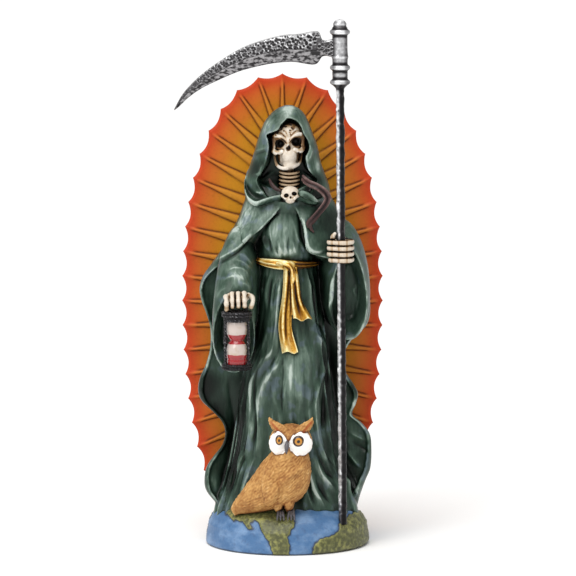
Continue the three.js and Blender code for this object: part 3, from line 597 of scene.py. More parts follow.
panel = {"width": 116, "topHeight": 268.5, "thickness": 5.5, "rays": 46, "scallop": 2.4, "rayHeight": 1.3,
         "dish": 1.1, "middleX": -2.6, "lowReach": 1.18, "power": 2.28, "focus": 0.72, "focusRise": -0.045,
         "red": rgb(188, 62, 26), "orange": rgb(192, 98, 30), "ochre": rgb(202, 136, 26),
         "line": rgb(84, 34, 14), "pale": rgb(220, 146, 58)}
panelMiddle = 0.524 * panel["topHeight"]


def panelOutline(turn):  # the tips' oval, round the panel's own middle
    half = panel["topHeight"] - panelMiddle
    reach = np.where(np.cos(turn) < 0, half * panel["lowReach"], half)
    across, up = (np.sign(way) * np.abs(way) ** (2 / panel["power"]) for way in (np.sin(turn), np.cos(turn)))
    return np.stack([panel["width"] / 2 * across, reach * up], -1)


def makePanel():
    rays, columns = panel["rays"], 26  # a ray's columns are closer together at its rib
    fine = np.linspace(0, 2 * math.pi, 4801)
    steps = np.linalg.norm(np.diff(panelOutline(fine), axis=0), axis=1)
    lengths = np.concatenate([[0], np.cumsum(steps)])
    share = np.linspace(-1, 1, columns, endpoint=False)
    share = 0.5 * np.sign(share) * np.abs(share) ** 1.7
    place = (np.arange(rays)[:, None] + share).ravel() / rays
    turn = np.interp((place % 1) * lengths[-1], lengths, fine)
    share = np.tile(share, rays)
    tips = panelOutline(turn)
    dip = np.sin(math.pi * np.abs(share)) ** 0.8  # 1 in the middle of a scallop
    focusRise = panel["focusRise"] * panel["topHeight"] * (1 - panel["focus"])
    core = np.stack([0 * turn, tips[:, 1] * panel["focus"] + focusRise], -1)
    reach = np.linalg.norm(core - tips, axis=1)[:, None]
    inward = (core - tips) / reach
    outer = np.array([[0, 0.25, 0.6, 1.1, 1.8, 2.7, 3.8, 5, 6.4, 8, 10, 12, 14.5, 17, 20, 23, 26, 30]])
    inner = np.array([[0.12, 0.26, 0.42, 0.6, 0.8, 0.985, 1]])
    depth = np.concatenate([outer + 0 * reach, 30 + (reach - 30) * inner], 1)
    start = panel["scallop"] * dip[:, None]
    depth = start + depth * (reach - start) / reach
    where = tips[:, None] + inward[:, None] * depth[..., None]

    # Each ray is a rib, with a groove and a dark line down either side that start and end where they will
    aside = np.abs(share)[:, None] * lengths[-1] / rays * (1 - depth / reach)
    width = 0.95 + 0.55 * smooth(6, 26, depth)
    random = np.random.default_rng(4)
    flank = np.repeat(np.arange(rays), columns), (share > 0).astype(int)
    begin = random.uniform(2.5, 6.5, (rays, 2))[flank][:, None]
    end = random.uniform(16, 60, (rays, 2))[flank][:, None]
    rib = np.sqrt(np.clip(1 - (aside / width) ** 2, 0, 1)) * smooth(1.5, 8, depth)
    groove = bell(aside - width - 0.1, 0.34) * smooth(begin, begin + 2, depth)
    line = bell(aside - width - 0.05, 0.36) * smooth(begin, begin + 3, depth)
    line = line * (0.55 + 0.45 * smooth(end + 6, end, depth))
    dish = panel["dish"] * dip[:, None] * smooth(16, 1, depth) + 0.5 * smooth(1.3, 0, depth - start)
    front = backPlane + panel["rayHeight"] * (1 - rib) + 0.5 * groove + dish

    def sheet(y, steps=slice(None)):
        x, z = where[:, steps, 0] + panel["middleX"], where[:, steps, 1] + panelMiddle
        return np.stack([x, y + 0 * x, z], -1)
    back = backPlane + panel["thickness"]
    edge = slice(0, 1)
    behind = [4, 7, 10, 13, 16, 19, 21, 23, 24]
    rings = np.concatenate([sheet(front)[:, ::-1], sheet(front[:, edge] + 0.8, edge), sheet(back - 0.5, edge),
                            sheet(back, slice(1, 2)), sheet(back, behind)], 1)
    count, rows = rings.shape[:2]
    index = np.arange(count * rows).reshape(count, rows)
    ahead = np.roll(index, -1, 1)
    faces = np.stack([index, ahead, np.roll(ahead, -1, 0), np.roll(index, -1, 0)], -1).reshape(-1, 4)
    fill = np.zeros((count, rows - depth.shape[1]))
    fields = {"inward": np.concatenate([depth[:, ::-1], fill[:, :3], depth[:, behind]], 1).ravel(),
              "groove": np.concatenate([line[:, ::-1], fill], 1).ravel(),
              "rib": np.concatenate([rib[:, ::-1], fill], 1).ravel()}
    points = rings.reshape(-1, 3)
    onGlobe = np.hypot(points[:, 0], points[:, 1]) < globe["radius"]
    points[onGlobe] = stood(points[onGlobe], -0.4)  # its foot is let into the globe
    paint = Paint("ray_paint", Roughness=0.5, Specular_IOR_Level=0.16)
    depthIn = paint.field("inward") + 5 * (paint.noise(14) - 0.5)
    speck = paint.noise(1.6, 5)
    colour = paint.mix(paint.between(depthIn, 2, 12), panel["red"], panel["orange"])
    colour = paint.mix(paint.between(depthIn, 9, 26), colour, panel["ochre"])
    colour = paint.mix(paint.field("rib") * 0.4, colour, panel["pale"])
    colour = paint.mix(paint.between(speck, 0.5, 0.8) * 0.14, colour, panel["line"])
    colour = paint.mix(paint.field("groove"), colour, panel["line"])
    paint.feed("Base Color", colour)
    paint.feed("Roughness", 0.42 + 0.2 * speck)
    paint.bump(speck, 0.12)
    makePiece("rays", (points, faces), paint, "ray_panel", **fields)


makePanel()


# The robe: gown, cloak, hood, cowl and sleeves, carved as one

robe = {"grain": 0.62, "triangles": 192000, "rim": 2.6, "blue": rgb(104, 116, 140), "pleats": 0.5,
        "tones": [(0, rgb(5, 9, 6)), (0.24, rgb(13, 25, 18)), (0.46, rgb(31, 47, 38)),
                  (0.66, rgb(60, 80, 68)), (0.84, rgb(108, 127, 115)), (1, rgb(180, 194, 185))]}

# Outlines of the gown and cloak at each height: [height, half width] and so on
gownWidth = [[12, 41], [22, 40], [34, 35.5], [50, 31.5], [80, 27], [110, 23], [142, 19.6], [161, 17],
             [172, 19], [187, 18.5], [199, 14], [209, 8]]
gownFront = [[12, 33.5], [22, 32.5], [34, 28], [50, 24.5], [80, 22], [110, 20], [142, 17.6], [161, 15.5],
             [172, 17.6], [188, 17], [199, 13], [209, 8]]
gownBack = 14
# Each fold's angle at the waist, its angle at the hem, and its height
gownFolds = [[-76, -84, 2.6], [-60, -70, 3.6], [-44, -57, 2.6], [-32, -44, 3.8], [-21, -31, 2.4],
             [-11, -19, 3.6], [-2, -8, 2.4], [7, 3, 3.8], [17, 14, 2.6], [28, 26, 3.8], [41, 39, 2.8],
             [55, 54, 4], [72, 72, 3]]
waistHeight = 162
hemHeight = 20


def gown():
    z = np.arange(12, 203.1, 0.8)[:, None]  # down into the globe, up into the hood
    turn = np.linspace(-math.pi, math.pi, 420, endpoint=False)[None]
    down = np.clip((waistHeight - z) / (waistHeight - hemHeight), 0, 1)
    folds = np.array(gownFolds, float)
    ridges = (folds[:, 0] + (folds[:, 1] - folds[:, 0]) * down**0.8) * radian
    rises = folds[:, 2] * (0.3 + 0.7 * down)
    relief = np.zeros((len(z), turn.shape[1]))
    for row, (at, rise) in enumerate(zip(ridges, rises)):
        crest = (0.5 + 0.5 * np.cos(2 * math.pi * np.interp(turn[0], at, np.arange(len(at))))) ** 1.5
        sides = smooth(at[0] - 0.3, at[0], turn[0]) * smooth(at[-1] + 0.3, at[-1], turn[0])
        relief[row] = np.interp(turn[0], at, rise) * (1.3 * crest - 0.3) * sides
    relief *= 0.6 - 0.42 * smooth(0.3, 0.8, np.cos(turn))  # the front's folds are cut afterwards
    across = follow(gownWidth, z) + relief
    deep = np.where(np.cos(turn) > 0, follow(gownFront, z) + relief, gownBack)
    return skin(np.stack([across * np.sin(turn), -deep * np.cos(turn), z + 0 * turn], -1))


# The cloak's half widths and half depths, the angles of its two front edges, and how far in from them it is
# hollow, in degrees
cloakLeft = [[12, 36], [20, 39], [30, 46.5], [37, 47.5], [44, 46], [50, 42], [56, 37.5], [63, 35.5],
             [70, 37.5], [76, 43], [82, 49], [88, 51], [95, 50], [103, 46.5], [113, 44], [124, 44],
             [133, 46.5], [140, 49], [147, 50], [154, 48], [162, 42.5], [172, 35.5], [180, 31.5],
             [188, 27.5], [195, 25], [202, 22], [209, 16], [214, 8]]
cloakRight = [[12, 36], [20, 40], [27, 42], [36, 45.2], [43, 48], [55, 48.6], [63, 47.5], [69, 43],
              [74, 37.5], [80, 39.5], [86, 40.8], [92, 38], [99, 33.5], [108, 32.5], [117, 37], [125, 45],
              [132, 47.5], [147, 47], [155, 45.8], [163, 43], [170, 40], [178, 36], [187, 32], [195, 28],
              [202, 23.5], [209, 17], [214, 8]]
cloakLeftEdge = [[12, 70], [30, 72], [63, 82], [88, 74], [110, 84], [140, 84], [150, 80], [158, 70],
                 [164, 61], [172, 50], [180, 35], [187, 22], [195, 9], [200, 9], [204, 22], [208, 62],
                 [214, 86]]
cloakRightEdge = [[12, 66], [40, 70], [70, 80], [90, 74], [110, 82], [128, 80], [135, 68], [146, 54],
                  [156, 66], [162, 60], [166, 34], [170, 18], [180, 17], [190, 13], [196, 9], [200, 9],
                  [204, 24], [208, 60], [214, 86]]
cloakFront = [[12, 22], [60, 14], [100, 14], [135, 15], [150, 20], [163, 24], [175, 24], [187, 20.5],
              [198, 16], [208, 11], [214, 6]]
cloakBack = [[12, 22], [190, 22], [203, 18], [214, 8]]
cloakHollow = [[12, 30], [130, 34], [160, 16], [214, 10]]


def cloak():
    z = np.arange(12, 214.1, 0.8)[:, None]
    leftEdge, rightEdge = follow(cloakLeftEdge, z) * radian, follow(cloakRightEdge, z) * radian
    share = np.linspace(-1, 1, 190)[None]
    share = 0.5 + 0.5 * share * (1.3 - 0.3 * share * share)  # closer together at the edges
    turn = rightEdge + (2 * math.pi - leftEdge - rightEdge) * share
    side, ahead = np.sin(turn), np.cos(turn)
    across = np.where(side > 0, follow(cloakRight, z), follow(cloakLeft, z))
    deep = np.where(ahead > 0, follow(cloakFront, z), follow(cloakBack, z))
    edge = np.minimum(turn - rightEdge, 2 * math.pi - leftEdge - turn)
    filled = smooth(4, follow(cloakHollow, z) + 0 * turn, edge / radian)
    fromEdge = edge * across

    def within(size, gownSize):
        rim = np.maximum(size - robe["rim"] * (0.5 + 0.5 * smooth(0, 7, fromEdge)), 0.4 * size)
        return rim + (np.minimum(rim, 0.6 * gownSize) - rim) * filled

    def wall(across, deep):
        return np.stack([across * side, -deep * ahead, z + 0 * turn], -1)
    hem = 0.1 * bell(fromEdge - 0.6, 0.7) - 0.25 * bell(fromEdge - 2.4, 1)
    inner = wall(within(across, follow(gownWidth, z)), within(deep, gownBack))
    return skin(np.concatenate([wall(across + hem, deep + hem), inner[:, ::-1]], 1))


# The hood's middle, half width and half depths at each height, and the opening for the face
hoodMiddle = [[186, 0.4], [201, 0.4], [209, -0.3], [218, -0.6], [227, -0.2], [241, -0.3], [252, 1]]
hoodWidth = [[186, 20], [194, 24], [201, 24.3], [207, 23.9], [213, 22], [219, 20], [225, 18.4], [231, 16.8],
             [236, 15], [242, 12.6], [247, 9.4], [250, 6], [252, 1.2]]
hoodFront = [[186, 15], [200, 17.5], [215, 16.5], [230, 15.6], [240, 12.8], [247, 8.4], [250, 5],
             [252, 0.8]]
hoodBack = [[186, 18], [210, 17.5], [228, 16.5], [240, 13], [247, 8.6], [250, 5.4], [252, 1]]
faceMiddle = 0.8
faceLeft = [[198, 10], [205, 16], [209, 18.2], [212, 17.4], [217, 14], [222, 12.4], [228, 11.4], [233, 12],
            [236.2, 12.9], [237.6, 8.9], [238.8, 5.9], [241.5, 4.7], [244, 2.4], [246, 0.8]]
faceRight = [[198, 10], [205, 14], [209, 17], [212, 14.6], [215.3, 11.9], [218.7, 10.7], [223.1, 10.1],
             [226, 11.7], [229, 12.4], [233.4, 11.2], [236.6, 8.9], [241.4, 7.3], [244.8, 4.3], [246, 1]]


def hood():
    z = np.concatenate([np.arange(186, 249, 0.9), [249.6, 250.4, 251.2, 251.7]])[:, None]
    turn = turns(110)
    deep = np.where(np.cos(turn) > 0, follow(hoodFront, z), follow(hoodBack, z))
    across = follow(hoodMiddle, z) + follow(hoodWidth, z) * np.sin(turn)
    body = skin(np.stack([across, -deep * np.cos(turn), z + 0 * turn], -1))
    up = np.linspace(198, 246, 90)
    x = np.concatenate([follow(faceRight, up), -follow(faceLeft, up)[::-1]])
    z = np.concatenate([up, up[::-1]]) - 222
    slices = []
    for y in np.linspace(-32, 0, 14):
        shrink = follow([[-32, 1.06], [-12, 0.98], [0, 0.82]], y)  # the opening narrows inwards
        slices.append(np.stack([faceMiddle + shrink * x, 0 * x + y, 222 + shrink * z], 1))
    return carved(body, skin(slices))


# The cowl: on each side a fold of cloth with a rolled rim, low at the front, and a pocket behind it
cowlRims = {
    "left": ([[-24.4, -4, 208.6], [-24, -10, 204], [-22, -15, 199.8], [-18, -18.4, 197.6],
              [-13.8, -19.8, 198.9], [-9, -20, 200.5], [-3.4, -19.2, 201.6]],
             [[-22.6, 0, 214.5], [-20.6, -3.4, 212.4], [-18, -6, 209.4], [-14.6, -8, 207.2],
              [-11, -9.8, 205.8], [-7.4, -11.4, 204.6], [-3.2, -13, 203.6]]),
    "right": ([[4.6, -19.4, 202], [8.6, -20.2, 200.8], [12.8, -20.2, 199], [17.4, -18.6, 198.4],
               [20.8, -14.4, 200], [21.6, -8.6, 202.8], [20, -2, 205]],
              [[4.8, -13, 203.8], [8, -12, 205.4], [11.4, -10.4, 206.8], [15, -8.4, 208.4], [17.6, -6, 210],
               [19.4, -3, 211.4], [20.4, 1, 212.6]]),
}


def cowl():
    forms = []
    for rim, top in cowlRims.values():
        low, high = through(rim, 44), through(top, 44)
        rings = []
        for a, b in zip(low, high):
            behind = 0.5 * (a + b) + (0, 5, -7)
            loop = [behind, a + (0, 2, -2.1), a + (0, 0.3, -1), a + (0, -0.5, -0.1), a + (0, 0.2, 0.8),
                    a + 0.32 * (b - a) + (0, 1.4, -1.9), a + 0.7 * (b - a) + (0, 1, -1.7), b,
                    b + (0, 2.4, -0.6), b + (0, 4, -5), behind]
            rings.append(through(loop, 41)[:-1])
        forms.append(skin(rings))
    rolled = [[5.4, -20.2, 203.2], [9, -22, 202.9], [13, -21.8, 200.9], [17.6, -19.6, 198.6]]
    return forms + [tube(rolled, [0.8, 2, 1.9, 0.6], 20, 40, 0.45, (0, 1, 0))]


def sleeve(sections, pear, mouthDepth):  # pear is how much narrower it is at the top of its mouth than below
    rows = 60
    y, x, z, across, up, lean = columnsOf(sections, rows)
    turn = turns(120)

    def ring(rows, back, size, share):
        wide = 1 - pear * np.cos(turn) * share
        return np.stack([x[rows] + size * across[rows] * wide * np.sin(turn),
                         y[rows] + back + size * lean[rows] * np.cos(turn),
                         z[rows] + size * up[rows] * np.cos(turn)], -1)
    mouth = ((0.97, -0.4), (0.93, -0.1), (0.88, 1.2), (0.82, 3.4), (0.74, mouthDepth * 0.5),
             (0.6, mouthDepth * 0.9), (0.5, mouthDepth))
    inside = [ring(slice(-1, None), back, size, 1) for size, back in mouth]
    return skin(np.concatenate([ring(slice(None), 0, 1, np.linspace(0, 1, rows)[:, None])] + inside))


# Each section of a sleeve: depth, middle across, middle height, half width, half height, lean
sleeveLeft = [[8, -22, 155, 9, 27, 0], [-2, -26, 152.5, 11.4, 32, 0], [-12, -28.6, 146, 12, 34.5, -1],
              [-20, -30, 134.5, 12.2, 31, -2], [-25, -30.2, 124.4, 12, 23.6, -4]]
sleeveRight = [[8, 26, 158, 12, 30, 0], [-4, 32, 154.5, 13.5, 32, 0], [-14, 34.6, 149.5, 12.6, 30, 0],
               [-22, 35.2, 146, 10.4, 26.5, -2]]

# What the carver cut from the front, each line as [across, up]. Folds: the crest's height and half width
folds = [
    ([[-2.6, 195], [-7.3, 188.9], [-9.2, 182.7], [-8.2, 175.2], [-6.2, 167.4]], 1.3, 1.8),
    ([[-13.8, 181], [-12.9, 175.2], [-10, 168.2]], 1.2, 1.5),
    ([[-1.1, 192], [-1.7, 182.7], [-1.9, 175.2], [0, 166.7]], 0.8, 2),
    ([[1.7, 193], [3.6, 185.8], [5.5, 178.3], [8, 172], [11.4, 167.3]], 0.9, 1.6),
    ([[-4.6, 178], [-4.2, 172], [-2.8, 167]], 0.8, 1.2), ([[3, 178], [4, 171.6], [5.2, 167]], 0.8, 1.2),
    ([[-15.4, 161], [-16.4, 153.5], [-17.2, 142]], 0.9, 1.2),
    ([[-11.6, 161], [-13.6, 152.2], [-14.4, 140]], 1, 1.2),
    ([[-8, 160.6], [-11, 150.3], [-12.4, 134]], 1, 1.2), ([[-5, 160], [-7.6, 147.8], [-9.4, 130]], 1, 1.2),
    ([[-3, 158], [-4.6, 143], [-5.9, 125.7], [-8.6, 112.9], [-12.8, 106.8], [-17.2, 99.9], [-19.9, 92.3],
      [-20.4, 81.1], [-20.4, 67.7], [-22.8, 56.5], [-27.3, 47.5], [-31.7, 37.4], [-33.9, 29.6]], 2.1, 2.4),
    ([[-1.8, 116], [-5.1, 105.7], [-10.6, 97.8], [-14.8, 88.9], [-16.1, 78.9], [-15.6, 67.7], [-16.2, 57.6],
      [-19.5, 49.8]], 1.8, 2.2),
    ([[10.6, 159], [13.2, 143.8], [15.9, 123.5], [20.4, 115.7], [21.5, 107.9], [19.8, 99], [17.1, 91.2],
      [16, 83.3], [16.2, 75.5], [18, 62], [22, 51], [28.7, 43.6]], 1.9, 2),
    ([[8.2, 118], [7.6, 104], [7.2, 92], [7.1, 78]], 2.6, 8),
    ([[15.6, 56], [18, 46], [22.1, 38.5], [30, 29]], 2.3, 1.7),
    ([[12.4, 50], [14, 38], [17.4, 29.6], [24, 21.6]], 2.2, 1.6),
    ([[33.1, 64.9], [39.2, 61.9], [47.2, 58.3]], 1.8, 1.5),
    ([[32, 56], [38.2, 48.1], [44, 41.5]], 1.9, 1.5), ([[29, 43], [36, 34.5], [42.4, 27]], 2, 1.6),
    ([[10, 44], [11, 34], [14, 26], [18, 20]], 1.5, 1.4),
    ([[24.6, 92], [24, 78], [25.6, 66], [30, 56]], 1.2, 1.8),
    ([[-21.7, 56.5], [-25.6, 45.3], [-28.4, 34.1], [-32.8, 26]], 1.7, 1.9),
    ([[-16.2, 56], [-20.6, 45.3], [-24.5, 34], [-27, 24]], 1.6, 1.9),
    ([[-25.9, 99], [-26.7, 88.9], [-25.6, 77.7], [-24.5, 67.7], [-26.4, 54], [-31, 40]], 1.5, 1.9),
    ([[-20.4, 211.8], [-18.1, 213], [-15.3, 213.7], [-14.3, 217.6], [-15.6, 220.6]], 1.2, 1),
    ([[-19, 203.9], [-15.6, 202.8], [-12, 202.2]], 1.2, 1),
    ([[13, 230], [13.9, 226.6], [12.5, 222], [11.6, 218.7]], 0.9, 0.9),
    ([[7, 203.4], [11, 203], [15, 200.6], [17.4, 198.6]], 0.7, 0.8),
    ([[-38, 151.4], [-33, 155.8], [-27, 156], [-21, 151]], 0.8, 1),
    ([[-36, 158], [-30, 161], [-25, 160], [-20.4, 155]], 0.8, 1),
    ([[-31, 165.6], [-26, 164.4], [-22, 161], [-19.4, 157]], 0.85, 1),
    ([[-28, 169], [-24, 167], [-21, 163.4], [-19, 160]], 0.75, 0.9),
    ([[-40, 143], [-37, 148], [-33, 151.4]], 0.7, 1.1),
    ([[-20, 147], [-23, 151.4], [-27.6, 153.4]], 0.7, 1.1),
    ([[24.6, 160], [25.6, 148], [24, 138], [25.6, 128]], 1, 1.6),
    ([[40, 158], [41.5, 147], [39.6, 136], [41, 128]], 1, 1.7),
    ([[-12, 193], [-21, 184], [-30, 173.6], [-38, 166]], 0.6, 3),
    ([[-20, 196], [-28, 184], [-36, 172]], 0.5, 3),
]
# Grooves: depth and half width
grooves = [
    ([[-2.3, 195], [-6, 190.8], [-10.7, 185.8], [-14, 181.6]], 1.1, 1),
    ([[-10.8, 180], [-9.6, 172.7], [-8.1, 166.7]], 1, 0.9),
    ([[1.1, 180], [0.4, 172.7], [1.4, 166.7]], 0.6, 0.7),
    ([[6.2, 176.4], [8.4, 170.2], [10.4, 166.3]], 0.7, 0.8),
    ([[7, 193], [8, 183.9], [9, 176.4], [11.6, 170]], 1.2, 1), ([[-6.6, 173], [-5, 167]], 0.5, 0.7),
    ([[-2, 112], [-2.3, 97.8], [-3.1, 86.7], [-2.3, 74]], 1.5, 1.1),
    ([[-31.1, 100.6], [-32.7, 88.9], [-31.1, 77.7], [-29.8, 65.4], [-31.7, 52], [-35.9, 40.8],
      [-38.4, 27.3]], 1.8, 1.9),
    ([[-10.4, 111.2], [-15.8, 102.3], [-18.3, 94.5], [-18.4, 81.1], [-17.9, 67.7], [-20.4, 56.5]], 1.3, 1),
    ([[14, 152], [17, 132], [23.1, 119], [24.2, 103.4], [21.5, 88.9], [21.1, 75.5], [19.3, 63.2]], 1.8,
     1.5), ([[20, 60], [24, 50], [30, 43]], 1.2, 1), ([[17.4, 54.2], [22.8, 43.6], [29, 36.9]], 1.2, 1),
    ([[16, 41], [21.5, 30.7], [27.1, 24]], 1.2, 1),
    ([[-22.6, 64], [-24.6, 50], [-29.6, 38], [-34, 28]], 1.1, 1),
    ([[7, 201.8], [11.6, 200], [16.6, 196.6]], 0.8, 0.7), ([[34, 60], [40, 56.6], [48, 52]], 1, 1.2),
    ([[-8.4, 157], [-9.8, 147], [-10.6, 136]], 0.8, 0.8), ([[-12.4, 157], [-14, 146]], 0.8, 0.7),
    ([[-17.4, 158], [-19.2, 140], [-21.6, 118], [-23, 104]], 1.4, 1.4),
]
# Edges of one layer of cloth over another, raised on the left of the line's way: height and how far it fades
ledges = [
    ([[-45, 160.6], [-42.6, 161.6], [-35.2, 166.2], [-27.6, 171], [-21.9, 177], [-15.1, 184.4]], 1.5, 9),
    ([[6.1, 196.4], [8.6, 190.8], [9.6, 183.9], [10.5, 176.4], [13.6, 170.8], [17.9, 169.4], [22.3, 171.1],
      [24.9, 174.2]], 0.9, 9), ([[-21, 223.6], [-17.2, 225.4], [-13.5, 226.9], [-9.4, 228.5]], 0.7, 8),
]
# Paler paint, partly a dry brush and partly painted highlights and sheen: the line, its strength and half
# width
paleBrushAndHighlights = [
    ([[-16, 203], [-21, 195], [-29, 183], [-34, 175]], 0.75, 6),
    ([[-4, 199], [-12, 191], [-22, 180]], 0.5, 3), ([[-6, 249], [1, 251.5], [7, 249]], 0.95, 6),
    ([[-8, 247], [-12, 240], [-15, 232]], 0.5, 4), ([[-20.6, 219], [-23.6, 209], [-24, 204]], 0.4, 1.2),
    ([[10, 246], [14, 237], [17, 228]], 0.4, 2.6), ([[18.7, 222], [17.4, 217], [18.6, 213]], 0.7, 1.7),
    ([[-24, 203], [-19, 197.6], [-13, 199.6], [-5, 201.6]], 0.12, 1),
    ([[14, 57], [17.4, 46], [22, 38.5], [29, 30]], 0.6, 1.1),
    ([[12.4, 49], [14.6, 37], [19, 28]], 0.5, 1.1), ([[19, 62], [23, 52], [30, 44]], 0.5, 1.1),
    ([[-23.4, 64], [-26, 51], [-31, 36]], 0.5, 1.2),
    ([[25.6, 152], [25.8, 144.2], [23.6, 138], [24.4, 131], [27.8, 126.6]], 0.6, 0.8),
    ([[-5, 192], [-6, 180], [-4.6, 168]], 0.65, 3), ([[0, 190], [0, 178], [1.6, 168]], 0.55, 3),
    ([[-10, 169], [-3, 168.6], [8, 169]], 0.95, 3.4), ([[-34, 155], [-28, 156], [-22, 153]], 0.65, 5),
    ([[2.6, 114], [1, 101], [1.6, 86]], 0.65, 4.4), ([[9, 132], [10, 116], [9, 100]], 0.3, 4),
    ([[-6, 148], [-9, 128], [-13, 110]], 0.35, 2),
    ([[-21, 98], [-21.5, 72], [-23, 56], [-30, 36]], 0.55, 2), ([[-6, 108], [-14, 92], [-17, 70]], 0.5, 2),
    ([[-42.5, 88], [-42, 78]], 0.7, 3), ([[41, 84], [38, 78]], 0.6, 2), ([[-29, 44], [-33, 34]], 0.6, 1.6),
    ([[-41, 42], [-41.6, 28]], 0.7, 3.5),
    ([[6.1, 196], [9.6, 184], [10.6, 176], [13.6, 170.8], [18, 169.4], [23, 171.6]], 0.9, 0.9),
]
# Painted shade on the cloak's inner side, in the hood's pockets and in deep folds: the line, its strength and
# half width
shades = [
    ([[-42, 103], [-45, 88], [-38, 70], [-36, 60], [-39, 46]], 1.25, 8),
    ([[-28.4, 104], [-28, 84], [-28.6, 66], [-32, 48], [-37, 28]], 1.4, 5.5),
    ([[-13, 130], [-24, 96], [-24, 76]], 0.35, 4), ([[-46, 60], [-48, 42], [-42, 24]], 0.4, 4),
    ([[48, 66], [49, 50], [46, 32]], 0.4, 3), ([[-8, 206], [-6.4, 210], [-7, 214]], 0.8, 3),
    ([[-16, 223], [-18, 216], [-20, 209]], 0.6, 3.4), ([[-44, 116], [-44, 130], [-47, 146]], 0.4, 3),
    ([[-39, 146], [-38, 130], [-39, 112]], 0.35, 3), ([[8, 203], [12, 202], [16.6, 199.6]], 0.5, 2.6),
    ([[-24, 66], [-28, 46], [-33, 30]], 0.45, 4), ([[37, 98], [38, 80]], 0.9, 5),
    ([[39, 66], [44, 52], [42, 34]], 0.35, 7), ([[24.4, 120], [25.4, 96], [25, 66]], 1.15, 5),
    ([[25, 146], [27.6, 120], [27.8, 84], [28, 52]], 1.1, 4),
    ([[17, 160], [20, 145], [23, 128], [26, 110]], 0.9, 4), ([[25, 198], [26, 186], [22, 176]], 0.5, 8),
    ([[-12, 180], [-16, 172], [-17, 166]], 0.9, 3), ([[20, 66], [30, 48], [36, 30]], 0.6, 6),
    ([[4, 74], [8, 58], [10, 40]], 0.4, 6), ([[-19, 210], [-15, 206.5], [-9, 205]], 0.8, 2.4),
    ([[-12, 224], [-13.4, 214], [-10, 207]], 0.7, 3), ([[12, 214], [17, 210], [21, 206]], 0.8, 2.6),
    ([[-46, 150], [-45, 138], [-40, 122]], 0.5, 3), ([[8, 140], [10, 126], [12, 112]], 0.4, 3.4),
]
# The way the skirt's cloth runs: each line's place in the whole, and where it is as [up, across]
runs = [
    (0, [[22, -39], [42, -33], [62, -30], [80, -29.5], [100, -27], [120, -24], [140, -21], [162, -17.5]]),
    (0.3,
     [[22, -35], [30, -33.9], [37, -31.7], [47, -27.3], [56, -22.8], [68, -20.4], [92, -19.9], [100, -17.2],
      [107, -12.8], [119, -6.7], [140, -4.6], [162, -3]]),
    (0.5, [[22, 2], [45, 3], [78, 2], [112, 2], [162, 2.5]]),
    (0.72,
     [[22, 34], [36, 30], [44, 24.9], [52, 20.8], [62, 17.4], [83, 16], [99, 19.8], [108, 21.5],
      [116, 20.4], [131, 14.6], [144, 13.2], [162, 10.6]]),
    (1, [[22, 46], [32, 42], [52, 34], [70, 29], [90, 28], [105, 27], [125, 24], [145, 20], [162, 16]]),
]


def nearLine(points, facing, line, reach):  # the points near a line, their gap and side, and its fading ends
    track = through(line, 8 * len(line))
    along = np.concatenate([[0], np.cumsum(np.linalg.norm(np.diff(track, axis=0), axis=1))])
    low, high = track.min(0) - reach, track.max(0) + reach
    x, z = points[:, 0], points[:, 2]
    near = np.nonzero((x > low[0]) & (x < high[0]) & (z > low[1]) & (z < high[1]) & (facing > 0))[0]
    gap, place, side = np.full(len(near), 99.0), np.zeros(len(near)), np.ones(len(near))
    for i, (a, b) in enumerate(zip(track[:-1], track[1:])):
        run, rise = b - a
        u, v = x[near] - a[0], z[near] - a[1]
        t = np.clip((u * run + v * rise) / (run**2 + rise**2), 0, 1)
        away = np.hypot(u - t * run, v - t * rise)
        closer = away < gap
        place = np.where(closer, along[i] + t * (along[i + 1] - along[i]), place)
        side = np.where(closer, np.sign(v * run - u * rise), side)
        gap = np.minimum(away, gap)
    end = min(0.4 * along[-1], 11)
    return near, gap, side, smooth(0, end, place) * smooth(along[-1], along[-1] - end, place)


def strokes(points, facing, lines, power=2.0):  # rounded ridges along lines
    total = np.zeros(len(points))
    for line, height, width in lines:
        near, gap, side, taper = nearLine(points, facing, line, 3 * width)
        total[near] = np.maximum(total[near], height * np.exp(-((gap / width) ** power)) * taper)
    return total * facing


def layered(points, facing, lines):  # steps along lines
    total = np.zeros(len(points))
    for line, height, fade in lines:
        near, gap, side, taper = nearLine(points, facing, line, fade)
        over = gap * side
        raised = smooth(-0.5, 0.5, over) * smooth(fade, 0.2 * fade, over)
        under = 0.45 * bell(over + 1.2, 0.9)
        total[near] += height * (raised - under) * taper
    return total * facing


def pleats(points, facing):  # the skirt's many smaller folds
    x, y, z = points.T
    lines = np.stack([follow(keys, z) for place, keys in runs], 1)
    places = np.array([place for place, keys in runs])
    share = np.full(len(points), -1.0)
    for i in range(len(runs) - 1):
        a, b = lines[:, i], lines[:, i + 1]
        here = (x >= a) & (x < b)
        share[here] = (places[i] + (places[i + 1] - places[i]) * ((x - a) / (b - a)))[here]
    total = np.zeros(len(points))
    for count, depth, phase in ((8, 1.0, 0.2), (15, 0.75, 0.7), (27, 0.42, 0.1)):
        wander = 0.35 * np.sin(z / 19 + 4 * share + phase * 9) + 0.2 * np.sin(z / 8.7 + 7 * share)
        swell = 0.6 + 0.4 * np.sin(z / 23 + count * 2 * share + 5 * phase)
        crest = 1 - np.abs(np.sin(math.pi * (count * share + phase + wander)))
        total += depth * swell * (crest**1.3 - 0.3)
    around = np.hypot(x / (follow(gownWidth, z) + 1.5), y / (follow(gownFront, z) + 1.5))
    knee = bell(x - 8, 9) * bell(z - 98, 24)
    inside = (share >= 0) * smooth(1.32, 1.16, around) * smooth(162, 156, z) * (1 - 0.85 * knee)
    return robe["pleats"] * total * inside * facing


